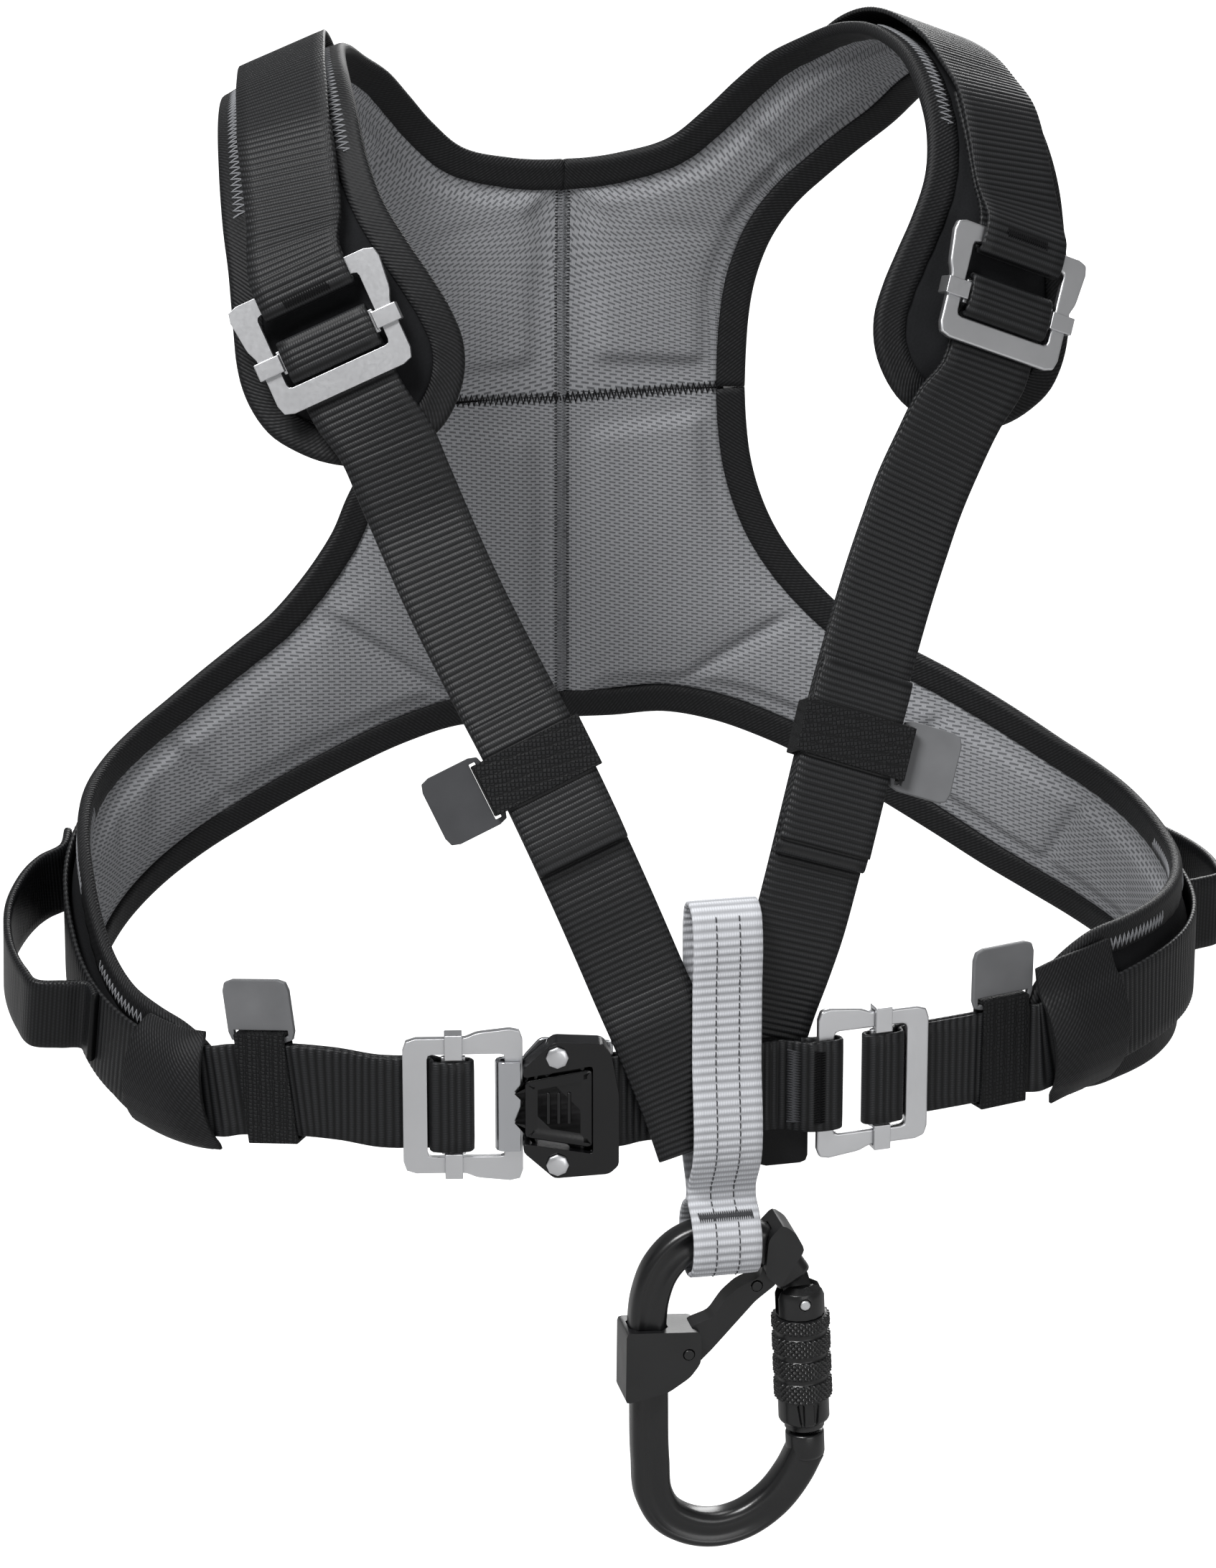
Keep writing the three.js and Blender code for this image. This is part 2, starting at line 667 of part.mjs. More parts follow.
// The line of the chest band, from the left of the back round the front to the right of the back.
const bandBack = {
  left: [
    { turn: 14, up: 0.5 },
    { turn: 28, up: 0.4 },
    { turn: 46, up: 0.297 },
    { turn: 64, up: 0.197 },
    { turn: 83, up: 0.1 },
    { turn: 100, up: 0.01 },
    { turn: 113, up: -0.022 },
  ],
  right: [
    { turn: 13, up: 0.48 },
    { turn: 27, up: 0.373 },
    { turn: 44, up: 0.262 },
    { turn: 59, up: 0.142 },
    { turn: 75, up: 0.055 },
    { turn: 96, up: 0.026 },
    { turn: 118, up: 0.02 },
    { turn: 130, up: 0.008 },
  ],
};
const bandFrontShares = [-0.72, -0.45, -0.2, 0, 0.2, 0.45, 0.6];
const leftBack = bandBack.left.map(({ turn, up }) => roundRibs(-turn, up * trunk.shoulderBase));
const rightBack = bandBack.right.map(({ turn, up }) => roundRibs(turn, up * trunk.shoulderBase)).reverse();
const bandFront = bandFrontShares.map((share) => atFront(share * trunk.halfBreadth, 0));
const bandLine = new Guide([...leftBack, ...bandFront, ...rightBack], atFront(0, 0));
const bandEnds = { left: -bandLine.start + 1, right: bandLine.length - bandLine.start - 1 };
const band = new Seated(bandLine, [[-66, 34.5, 12], [48.5, 20.5, 8.5], [-138.5, 8.5, 8.5], [94, 8.5, 8]]);

// The line of each shoulder strap, up the chest, over the shoulder and down the back.
const strapRows = {
  left: [
    { out: 0.005, up: -0.15 },
    { out: 0.055, up: 0 },
    { out: 0.263, up: 0.479 },
    { out: 0.411, up: 0.784 },
    { out: 0.543, up: 1.11 },
  ],
  right: [
    { out: 0.017, up: -0.15 },
    { out: 0.063, up: 0 },
    { out: 0.216, up: 0.447 },
    { out: 0.343, up: 0.737 },
    { out: 0.549, up: 1.11 },
  ],
};
const shoulderLineRows = [
  { out: 0.594, over: 151 },
  { out: 0.617, over: 138 },
  { out: 0.625, over: 124 },
  { out: 0.617, over: 108 },
  { out: 0.594, over: 92 },
  { out: 0.554, over: 72 },
  { out: 0.497, over: 54 },
  { out: 0.423, over: 38 },
  { out: 0.34, over: 23 },
  { out: 0.28, over: 8 },
  { out: 0.24, over: -8 },
  { out: 0.21, over: -19 },
];

function shoulderGuide(side) {
  const sign = side === 'left' ? -1 : 1;
  const chest = strapRows[side].map(({ out, up }) => atFront(sign * out * trunk.halfBreadth, up * trunk.shoulderBase));
  const over = shoulderLineRows.map((row) => overShoulder(sign * row.out * trunk.halfBreadth, row.over));
  return new Guide([...chest, ...over], chest[1]);
}

// Adjuster buckle: a plate frame with a slider across its window. The adjuster bar is at -x.
const windowStart = -buckle.length / 2 + buckle.adjusterBar;
const windowEnd = buckle.length / 2 - buckle.fixedBar;
const barMiddle = windowStart + slider.plySpace + slider.bar / 2;

function frameGeometry() {
  const [end, tall, ear] = [buckle.length / 2, frameHeight / 2, frameHeight / 2 + buckle.ear];
  const shoulder = (tall + ear) / 2;
  const upper = [[-end, tall], [buckle.earStart - 3, tall], [buckle.earStart, shoulder], [end, ear]].reverse();
  const lower = [[-end, -tall], [buckle.earStart - 3, -tall], [buckle.earStart, -shoulder], [end, -ear]];
  const shape = roundedOutline([...lower, ...upper], buckle.corner);
  const opening = shifted(rectangle(windowEnd - windowStart, windowHeight), (windowStart + windowEnd) / 2, 0);
  shape.holes.push(roundedOutline(opening, 1.5));
  return plate(shape, buckle.plate, 2);
}

function sliderGeometry() {
  const railOuter = frameHeight / 2 + fit.clearance + slider.metal / 2;
  const railInner = windowHeight / 2 - fit.clearance - slider.metal / 2;
  const over = buckle.plate / 2 + fit.clearance + slider.metal / 2;
  const line = [
    [-railOuter + slider.lip, -over],
    [-railOuter, -over],
    [-railOuter, over],
    [-railInner, over],
    [-railInner, 0],
    [railInner, 0],
    [railInner, over],
    [railOuter, over],
    [railOuter, -over],
    [railOuter - slider.lip, -over],
  ];
  const clip = bentStrip(line, slider.metal, slider.clip).rotateZ(Math.PI / 2);
  const bar = new THREE.BoxGeometry(slider.bar, 2 * railInner, slider.barThickness);
  const whole = solid(clip).add(solid(bar));
  return fromSolid(whole).translate(barMiddle, 0, 0);
}

// Route of webbing that comes along outside, passes under the adjuster bar, round the slider and back inside.
// Positions are taken from the middle of the buckle, towards the fixed bar.
function adjusterRoute(plateLift, inner, outer) {
  const wrap = slider.barThickness / 2 + fit.clearance + half;
  const edge = windowStart + fit.clearance + half;
  const far = barMiddle + slider.bar / 2;
  return [
    [-buckle.length / 2 - 2, outer],
    [windowStart - 0.2, outer],
    [edge - 0.1, outer + ply * 0.25],
    [edge + 0.35, outer + ply * 0.8],
    [edge + 0.45, plateLift + half],
    [edge + 0.9, plateLift + wrap - 0.35],
    [edge + 1.9, plateLift + wrap],
    ...halfTurn(far, plateLift, wrap, 1, true),
    [edge + 4.4, plateLift - wrap],
    [edge + 2.7, plateLift - wrap - 0.7],
    [edge + 1.1, inner + 0.5],
    [edge - 0.3, inner],
    [-buckle.length / 2 - 2, inner],
  ];
}

// Route of webbing sewn round the fixed bar: along outside, over the bar, round it and back inside.
function fixedRoute(plateLift, inner, outer) {
  const wrap = buckle.plate / 2 + fit.clearance + half;
  const end = buckle.length / 2;
  return [
    [end + 10, outer],
    [end + 6.5, outer + (plateLift + wrap - outer) * 0.35],
    [end + 2.6, plateLift + wrap - 0.6],
    [end, plateLift + wrap],
    ...halfTurn(windowEnd, plateLift, wrap, -1, true),
    [end, plateLift - wrap],
    [end + 4, Math.min(plateLift - wrap, inner + 1)],
    [end + 8, inner],
  ];
}

function laid(route, middle, direction) {
  return route.map(([along, lift]) => [middle + direction * along, lift]);
}

// Elastic keeper: a flat ring round the plies, longer on the side of its pull tab.
const keeperReach = web.width / 2 + keeper.room;
const tabReach = web.width / 2 + tab.gap + tab.bar + fit.clearance;

function keeperGeometry(guide, middle, lowLift, highLiftAt, tabSide) {
  const stations = 4;
  const corner = (along, across, lift) => guide.place(along, lift, across * tabSide);
  const ringAt = (along, grow) => {
    const low = lowLift - half - keeper.room / 2 - grow;
    const high = highLiftAt(along) + half + keeper.room / 2 + grow;
    const [near, far] = [-keeperReach - grow, tabReach + grow];
    return [corner(along, near, low), corner(along, far, low), corner(along, far, high), corner(along, near, high)];
  };
  const steps = Array.from({ length: stations }, (_, k) => middle + keeper.width * (k / (stations - 1) - 0.5));
  const outside = steps.map((along) => ringAt(along, keeper.wall));
  const inside = steps.map((along) => ringAt(along, 0)).reverse();
  return gridGeometry([...outside, ...inside], true);
}

function tabGeometry(tabSide) {
  const start = web.width / 2 + tab.gap;
  const outline = shifted(rectangle(tab.width, tab.height), 0, start + tab.height / 2);
  const shape = roundedOutline(outline, tab.corner);
  const slotWidth = keeper.wall + 2 * fit.clearance + 0.2;
  const slot = shifted(rectangle(keeper.width + 1.6, slotWidth), 0, start + tab.bar + slotWidth / 2);
  shape.holes.push(new THREE.Path(slot.map(([x, y]) => new THREE.Vector2(x, y))));
  const geometry = plate(shape, tab.thickness, 2);
  return tabSide > 0 ? geometry : geometry.rotateZ(Math.PI);
}

function addKeeper(name, guide, middle, lowLift, highLiftAt, tabSide) {
  add(`${name}_keeper`, keeperGeometry(guide, middle, lowLift, highLiftAt, tabSide), 'elastic');
  const lift = (lowLift + highLiftAt(middle)) / 2;
  add(`${name}_tab`, tabGeometry(tabSide), 'tab', stationOn(guide, middle, lift));
}

// Shoulder straps, their webs over the shoulders, and their buckles.
const strapPlan = {
  left: { chestLayer: 5, tailTo: 84, keeperAt: 112, folds: [130], tabSide: 1, webInnerTo: 42 },
  right: { chestLayer: 0, tailTo: 75, keeperAt: 110, folds: [131, 78], tabSide: -1, webInnerTo: 42 },
};
const strapFree = 5;
const shoulderBuckleRow = shoulderLineRows[0];

for (const side of ['left', 'right']) {
  const sign = side === 'left' ? -1 : 1;
  const plan = strapPlan[side];
  const line = shoulderGuide(side);
  const seat = overShoulder(sign * shoulderBuckleRow.out * trunk.halfBreadth, shoulderBuckleRow.over);
  const middle = line.nearest(seat) - line.start;
  const guide = new Seated(line, [[middle, 21, 16], [plan.keeperAt, 8.5, 9]]);
  const place = stationOn(guide, middle, shoulderPlate);
  add(`shoulder_buckle_${side}`, frameGeometry(), 'steel', place);
  add(`shoulder_slider_${side}`, sliderGeometry(), 'steel', place);

  const innerAt = profile([
    [web.width * 0.65, chestLayer(plan.chestLayer)],
    [web.width * 1.7, strapFree],
    [middle - 62, strapFree],
    [middle - 44, padLayer(0) - 1.4],
    [middle - 30, padLayer(0)],
  ]);
  const outerAt = (along) => innerAt(along) + ply;
  const bottom = side === 'left' ? -17 : -4;
  const gap = buckle.length / 2 + 2;
  const load = steadyRoute(bottom, middle - gap - 4, innerAt, 14);
  const wrap = laid(adjusterRoute(shoulderPlate, padLayer(0), padLayer(1)), middle, 1).reverse();
  const tail = steadyRoute(middle - gap - 4, plan.tailTo, outerAt, 14);
  const route = [...load, ...wrap, ...tail];
  let from = plan.tailTo;
  let layer = 1;
  plan.folds.forEach((to, k) => {
    const direction = k % 2 ? 1 : -1;
    const centre = innerAt(from) + (layer + 0.5) * ply;
    route.push(...halfTurn(from, centre, ply / 2, direction, false).slice(1));
    layer += 1;
    const own = layer;
    route.push(...steadyRoute(from, to, (along) => innerAt(along) + own * ply, 14).slice(1));
    from = to;
  });
  add(`shoulder_strap_${side}`, ribbon(guide, route, web.width, web.thickness), 'webbing');

  const top = (along) => innerAt(along) + layer * ply;
  addKeeper(`shoulder_${side}`, guide, plan.keeperAt, innerAt(plan.keeperAt), top, plan.tabSide);

  const sewn = laid(fixedRoute(shoulderPlate, padLayer(0), padLayer(1)), middle, 1);
  const sewnEnd = middle + buckle.length / 2 + plan.webInnerTo;
  const webEnd = line.length - line.start - 1;
  const settle = profile([[sewnEnd, padLayer(1)], [sewnEnd + 12, padLayer(0)]]);
  const overRoute = steadyRoute(webEnd, sewn[0][0] + 4, settle, 13);
  const under = steadyRoute(sewn[sewn.length - 1][0] + 5, sewnEnd, () => padLayer(0), 13);
  add(`shoulder_web_${side}`, ribbon(guide, [...overRoute, ...sewn, ...under], web.width, web.thickness), 'webbing');
}

// Chest band: the adjusting strap of each side, its buckle and its keeper.
const bandPlan = {
  left: { direction: 1, buckleAt: -79, tailTo: -148, keeperAt: -138.5, tip: 154.5, gearTurn: [72, 101], gearShift: 3 },
  right: { direction: -1, buckleAt: 48.5, tailTo: 104, keeperAt: 94, tip: 107, gearTurn: [66, 93], gearShift: -6 },
};
const sleeveReach = { left: { low: -19.5, high: 19.5 }, right: { low: -21, high: 27 } };

for (const side of ['left', 'right']) {
  const plan = bandPlan[side];
  const sign = -plan.direction;
  const place = stationOn(band, plan.buckleAt, chestPlate);
  if (sign > 0) place.rotateZ(Math.PI);
  add(`chest_buckle_${side}`, frameGeometry(), 'steel', place);
  add(`chest_slider_${side}`, sliderGeometry(), 'steel', place);

  const reach = profile([
    [plan.tip - 3.5, chestLayer(2)],
    [plan.tip, chestLayer(3) + 0.6],
    [plan.tip + 2, chestLayer(3) + 0.8],
    [plan.tip + 8, padLayer(0)],
  ]);
  const outerAt = (along) => reach(Math.abs(along));
  const gap = buckle.length / 2 + 2;
  const join = plan.buckleAt + sign * (gap + 4);
  const climb = [8, 2, 0, -4].map((past) => [sign * (plan.tip + past), outerAt(plan.tip + past)]);
  const load = [
    ...steadyRoute(bandEnds[side], sign * (plan.tip + 16), outerAt, 14),
    ...climb,
    ...steadyRoute(sign * (plan.tip - 12), join, outerAt, 14),
  ];
  const wrap = laid(adjusterRoute(chestPlate, chestLayer(1), chestLayer(2)), plan.buckleAt, -sign);
  const tail = steadyRoute(join, plan.tailTo, () => chestLayer(1), 14);
  add(`chest_strap_${side}`, ribbon(band, [...load, ...wrap, ...tail], web.width, web.thickness), 'webbing');
  addKeeper(`chest_${side}`, band, plan.keeperAt, chestLayer(1), outerAt, 1);

  // The tape sleeve that closes the end of the pad round the strap.
  const { low, high } = sleeveReach[side];
  const crest = padLayer(0) + half + endSleeve.room + endSleeve.thickness / 2;
  const foot = padding.thickness / 2 + tape.thickness / 2 + fit.clearance + endSleeve.thickness / 2 + 0.3;
  const arch = web.width / 2 + endSleeve.room + endSleeve.thickness;
  const section = [
    [low, foot],
    [-arch, (foot + crest) / 2 + 0.6],
    [-arch + 2.5, crest],
    [arch - 2.5, crest],
    [arch, (foot + crest) / 2 + 0.6],
    [high, foot],
  ];
  const rings = [1.5, 8, 18, 1.5 + endSleeve.length].map((past) => {
    const along = sign * (plan.tip + past);
    const ride = Math.min(0, outerAt(along) - padLayer(0));
    const side1 = section.map(([across, lift]) =>
      band.place(along, lift + (lift === foot ? 0 : ride) + endSleeve.thickness / 2, across));
    const side2 = section.map(([across, lift]) =>
      band.place(along, lift + (lift === foot ? 0 : ride) - endSleeve.thickness / 2, across));
    return [...side1, ...side2.reverse()];
  });
  add(`pad_sleeve_${side}`, gridGeometry(rings, false), 'tapeCloth');

  // Gear loop standing off the side.
  const [backTurn, frontTurn] = plan.gearTurn;
  const alongOf = (turn) => bandLine.nearest(roundRibs(sign * turn, 0)) - bandLine.start;
  const [ends0, ends1] = [alongOf(backTurn), alongOf(frontTurn)];
  const base = padLayer(0) + half + fit.clearance + gearLoop.thickness / 2;
  const step = Math.sign(ends1 - ends0);
  const gearRoute = [
    [ends0, base],
    [ends0 + step * gearLoop.foot, base],
    [ends0 + step * (gearLoop.foot + 6), base + gearLoop.standOff * 0.35],
    [ends0 + step * (gearLoop.foot + 22), base + gearLoop.standOff * 0.85],
    [ends1 - step * (gearLoop.foot + 10), base + gearLoop.standOff],
    [ends1 - step * (gearLoop.foot + 3), base + gearLoop.standOff * 0.9],
    [ends1 - step * gearLoop.foot, base + gearLoop.standOff * 0.4],
    [ends1 - step * (gearLoop.foot - 2), base],
    [ends1, base],
  ];
  const shiftedBand = {
    place: (along, lift) => band.place(along, lift, plan.gearShift),
    at: (along) => band.at(along),
  };
  add(`gear_loop_${side}`, ribbon(shiftedBand, gearRoute, gearLoop.height, gearLoop.thickness), 'gear');
}

// Front buckle: a hooked plate, its black cover, the release tab and two rivets.
const hookLift = chestPlate - buckle.plate / 2 - fit.clearance - hook.metal / 2;
const hookBend = bandPlan.left.buckleAt + windowEnd;
const coverEnd = -31;
const coverStart = coverEnd - cover.length;
const rivetAt = { along: -50, across: web.width / 2 + 2.8 };
const frontPlate = {
  halfWidth: web.width / 2 + 6,
  slotStart: -41.5,
  barStart: -36,
  barEnd: -32.5,
  windowStart: -57.5,
  windowEnd: -45.5,
};
const front = stationOn(band, -46, 0);
const frontX = (along) => along + 46;

function hookGeometry() {
  const wrap = chestPlate - hookLift;
  const returnEnd = hookBend + hook.returnLength;
  const turn = halfTurn(hookBend, chestPlate, wrap, -1, true);
  const line = [[returnEnd, chestPlate + wrap], ...turn, [coverStart + 3, hookLift]];
  const bend = bentStrip(line.map(([along, lift]) => [frontX(along), lift]), hook.metal, hookWidth);
  const outline = [
    [coverStart, -hookWidth / 2],
    [rivetAt.along - 5, -frontPlate.halfWidth],
    [frontPlate.barEnd, -frontPlate.halfWidth + 1.5],
    [frontPlate.barEnd, frontPlate.halfWidth - 1.5],
    [rivetAt.along - 5, frontPlate.halfWidth],
    [coverStart, hookWidth / 2],
  ].map(([along, across]) => [frontX(along), across]);
  const shape = roundedOutline(outline, 1.5);
  const hole = (from, to, reach) => {
    const points = shifted(rectangle(to - from, 2 * reach), frontX((from + to) / 2), 0);
    shape.holes.push(new THREE.Path(points.map(([x, y]) => new THREE.Vector2(x, y))));
  };
  hole(frontPlate.windowStart, frontPlate.windowEnd, rivetAt.across - 5);
  hole(frontPlate.slotStart, frontPlate.barStart, web.width / 2 + 0.6);
  for (const up of [-1, 1]) {
    shape.holes.push(roundHole(frontX(rivetAt.along), up * rivetAt.across, rivet.shankRadius + fit.clearance));
  }
  const flat = plate(shape, hook.metal, 3).translate(0, 0, hookLift);
  return fromSolid(solid(bend).add(solid(flat)));
}

const coverLift = hookLift + hook.metal / 2 + fit.clearance;

function coverGeometry() {
  const outline = [
    [coverStart, -13.8],
    [coverStart, -10.9],
    [coverEnd - 8, -14.6],
    [coverEnd - 8, 14.6],
    [coverStart, 10.9],
    [coverStart, 13.8],
    [rivetAt.along - 1, coverHalf],
    [coverEnd - 5.2, coverHalf - 0.8],
    [coverEnd - 2.4, coverHalf - 4],
    [coverEnd, 5],
    [coverEnd, -coverHalf + 4],
    [coverEnd - 3, -coverHalf + 1.2],
    [rivetAt.along - 1, -coverHalf],
  ].map(([along, across]) => [frontX(along), across]).reverse();
  const shape = roundedOutline(outline, 1.2);
  for (const up of [-1, 1]) {
    shape.holes.push(roundHole(frontX(rivetAt.along), up * rivetAt.across, rivet.shankRadius + fit.clearance));
  }
  const block = plate(shape, cover.thickness, 2).translate(0, 0, coverLift + cover.thickness / 2);
  const room = web.width + 1.6;
  const pocket = new THREE.BoxGeometry(frontX(coverEnd) + 20, room, 2 * (ply + fit.clearance));
  pocket.translate(frontX(frontPlate.slotStart) + (frontX(coverEnd) + 20) / 2, 0, coverLift);
  return fromSolid(solid(block).subtract(solid(pocket)));
}

function releaseGeometry() {
  const outline = [
    [coverStart + 0.6, -9.4],
    [coverEnd - 8 - release.gap, -13.2],
    [coverEnd - 8 - release.gap, 13.2],
    [coverStart + 0.6, 9.4],
  ].map(([along, across]) => [frontX(along), across]);
  const thick = cover.thickness - release.drop;
  return plate(roundedOutline(outline, 1.5), thick, 2).translate(0, 0, coverLift + thick / 2);
}

function rivetGeometry() {
  const top = coverLift + cover.thickness + fit.clearance;
  const points = [
    [0, hookLift - hook.metal / 2],
    [rivet.shankRadius, hookLift - hook.metal / 2],
    [rivet.shankRadius, top],
    [rivet.headRadius, top],
    [rivet.headRadius, top + rivet.headHeight * 0.5],
    [rivet.headRadius * 0.6, top + rivet.headHeight],
    [0, top + rivet.headHeight],
  ].map(([x, y]) => new THREE.Vector2(x, y));
  return new THREE.LatheGeometry(points, 8).rotateX(Math.PI / 2);
}

add('hook_plate', hookGeometry(), 'polished', front);
add('buckle_cover', coverGeometry(), 'cover', front);
add('release_tab', releaseGeometry(), 'cover', front);
add('rivet_upper', moved(rivetGeometry(), frontX(rivetAt.along), rivetAt.across, 0), 'steel', front);
add('rivet_lower', moved(rivetGeometry(), frontX(rivetAt.along), -rivetAt.across, 0), 'steel', front);

// Centre web between the front buckle and the right chest buckle.
const wrapFront = hook.metal / 2 + fit.clearance + half;
const fixedRight = laid(fixedRoute(chestPlate, chestLayer(1), chestLayer(2)), bandPlan.right.buckleAt, -1);
const centreRoute = [
  ...fixedRight.slice().reverse(),
  ...steadyRoute(fixedRight[0][0] - 5, coverEnd + 6, () => chestLayer(2), 12),
  [coverEnd + 2, hookLift + wrapFront - 0.7],
  [coverEnd - 0.8, hookLift + wrapFront],
  ...halfTurn(frontPlate.barStart, hookLift, wrapFront, -1, true),
  [coverEnd - 3, hookLift - wrapFront],
  ...steadyRoute(coverEnd + 2, fixedRight[fixedRight.length - 1][0] - 4, () => chestLayer(1) - 0.02, 12),
];
add('centre_web', ribbon(band, centreRoute.slice(1), web.width, web.thickness), 'webbing');

// Blank label behind the lower edge of the centre web.
const labelLift = chestLayer(1) - half - fit.clearance - label.thickness / 2;
const labelPlace = stationOn(bandLine, 21.8, labelLift, -web.width / 2 + label.overlap - label.height / 2);
const labelShape = roundedOutline(rectangle(label.width, label.height), label.corner);
add('label_tag', plate(labelShape, label.thickness, 2), 'label', labelPlace);

// Attachment loop: a closed ring of webbing round the band, pinched above the eye that holds the carabiner.
const chestFace = atFront(0, 0).y;
const loopPlane = chestFace - (chestLayer(0) + chestLayer(5)) / 2;
const carabinerHeight = -99.1;
const swingHeight = carabinerHeight + carabiner.halfLength * 0.955;

function loopPath() {
  const side = (chestLayer(5) - chestLayer(0)) / 2 + half + fit.clearance + loop.thickness / 2;
  const pinch = loop.thickness / 2 + 0.15;
  const eye = loop.eyeRadius + loop.thickness / 2;
  const pinchHeight = swingHeight + eye + 6.5;
  const topCentre = loop.top - loop.thickness / 2 - side;
  const up = [
    [eye, swingHeight],
    [eye, swingHeight + 4],
    [eye * 0.62, swingHeight + 10.5],
    [pinch, pinchHeight - 1.6],
    [pinch, pinchHeight + 1.6],
    [side * 0.62, pinchHeight + 7],
    [side, -web.width / 2 - 8],
    [side, web.width / 2],
    [side, (web.width / 2 + topCentre) / 2],
    [side, topCentre],
  ];
  const crown = [1, 2, 3, 4].map((k) => [side * Math.cos((Math.PI * k) / 5), topCentre + side * Math.sin((Math.PI * k) / 5)]);
  const seat = [1, 2, 3, 4, 5, 6, 7].map((k) => [-eye * Math.cos((Math.PI * k) / 8), swingHeight - eye * Math.sin((Math.PI * k) / 8)]);
  const down = up.slice().reverse().map(([depth, height]) => [-depth, height]);
  return [...up, ...crown, ...down, ...seat];
}

function loopGeometry() {
  const path = loopPath();
  const rings = path.map(([depth, height], k) => {
    const before = path[(k + path.length - 1) % path.length];
    const after = path[(k + 1) % path.length];
    const forward = new THREE.Vector2(after[0] - before[0], after[1] - before[1]).normalize();
    const out = new THREE.Vector2(forward.y, -forward.x);
    return [[1, 1], [-1, 1], [-1, -1], [1, -1]].map(([a, b]) => {
      const reach = (b * loop.thickness) / 2;
      const y = loopPlane - depth - out.x * reach;
      return new THREE.Vector3(loop.across + (a * loop.width) / 2, y, height + out.y * reach);
    });
  });
  return gridGeometry(rings, true);
}

add('attachment_loop', loopGeometry(), 'loop');

// Carabiner: x to the right, y up, z towards the viewer, from the middle of the oval.
const carabinerGroup = new THREE.Group();
carabinerGroup.position.set(carabiner.across, loopPlane, carabinerHeight);
carabinerGroup.rotation.x = Math.PI / 2;
harness.add(carabinerGroup);

// Middle line of the rod as shares of the half width and half length, from the nose round to the hinge.
const rodRows = [
  { out: 0.97, up: -0.5 },
  { out: 0.81, up: -0.665 },
  { out: 0.53, up: -0.845 },
  { out: 0.15, up: -0.965 },
  { out: -0.23, up: -0.995 },
  { out: -0.53, up: -0.957 },
  { out: -0.79, up: -0.868 },
  { out: -0.945, up: -0.72 },
  { out: -0.99, up: -0.48 },
  { out: -1.01, up: 0 },
  { out: -1.035, up: 0.43 },
  { out: -0.995, up: 0.62 },
  { out: -0.865, up: 0.8 },
  { out: -0.62, up: 0.932 },
  { out: -0.24, up: 0.993 },
  { out: 0.16, up: 0.972 },
  { out: 0.52, up: 0.86 },
  { out: 0.77, up: 0.68 },
];
const rodPoints = rodRows.map(({ out, up }) => new THREE.Vector3(out * carabiner.halfWidth, up * carabiner.halfLength, 0));
const pivot = new THREE.Vector3(0.867 * carabiner.halfWidth, 0.53 * carabiner.halfLength, 0);
const gateFoot = new THREE.Vector3(0.962 * carabiner.halfWidth, -0.51 * carabiner.halfLength, 0);

function rodSection(grow) {
  const [a, b, cut] = [carabiner.rod / 2 + grow, carabiner.rodDepth / 2 + grow, 2.6];
  return [[a, -b + cut], [a, b - cut], [a - cut, b], [-a + cut, b], [-a, b - cut], [-a, -b + cut], [-a + cut, -b], [a - cut, -b]];
}

function rodTube(points, grow, steps) {
  const curve = new THREE.CatmullRomCurve3(points, false, 'centripetal');
  const rings = Array.from({ length: steps + 1 }, (_, k) => {
    const point = curve.getPointAt(k / steps);
    const forward = curve.getTangentAt(k / steps);
    const side = new THREE.Vector3(-forward.y, forward.x, 0);
    return rodSection(grow).map(([a, b]) => point.clone().addScaledVector(side, a).add(new THREE.Vector3(0, 0, b)));
  });
  return gridGeometry(rings, false);
}

// Gate parts are laid out from the pivot, with z up along the gate.
const gateAxis = pivot.clone().sub(gateFoot).normalize();
const gateLean = Math.atan2(-gateAxis.x, gateAxis.y);

function onGate(geometry) {
  return geometry.rotateX(-Math.PI / 2).rotateZ(gateLean).translate(pivot.x, pivot.y, 0);
}

function turned(rows, sides) {
  const points = rows.map(([radius, height]) => new THREE.Vector2(radius, height));
  return new THREE.LatheGeometry(points, sides).rotateX(Math.PI / 2);
}

const sleeveTop = lockSleeve.top - pivot.y;
const sleeveBottom = lockSleeve.bottom - pivot.y;
const noseTop = sleeveBottom - lockSleeve.noseGap;
const tongue = { thickness: 4, radius: 4.4, room: 0.35 };
const hingeHole = captive.pinRadius + fit.clearance;

function carabinerGeometry() {
  const rod = solid(rodTube(rodPoints, 0, 32));
  const nose = solid(onGate(turned([[0, noseTop - 8], [carabiner.noseRadius, noseTop - 8], [carabiner.noseRadius, noseTop], [0, noseTop]], 16)));
  const outline = new THREE.Shape();
  const end = rodPoints[rodPoints.length - 1];
  outline.absarc(pivot.x, pivot.y, tongue.radius, Math.PI * 0.98, Math.PI * 0.12, false);
  outline.lineTo(end.x + 5.2, end.y + 1.5);
  outline.lineTo(end.x - 4.6, end.y - 0.5);
  outline.closePath();
  outline.holes.push(roundHole(pivot.x, pivot.y, hingeHole));
  return fromSolid(rod.add(nose).add(solid(plate(outline, tongue.thickness, 8))));
}

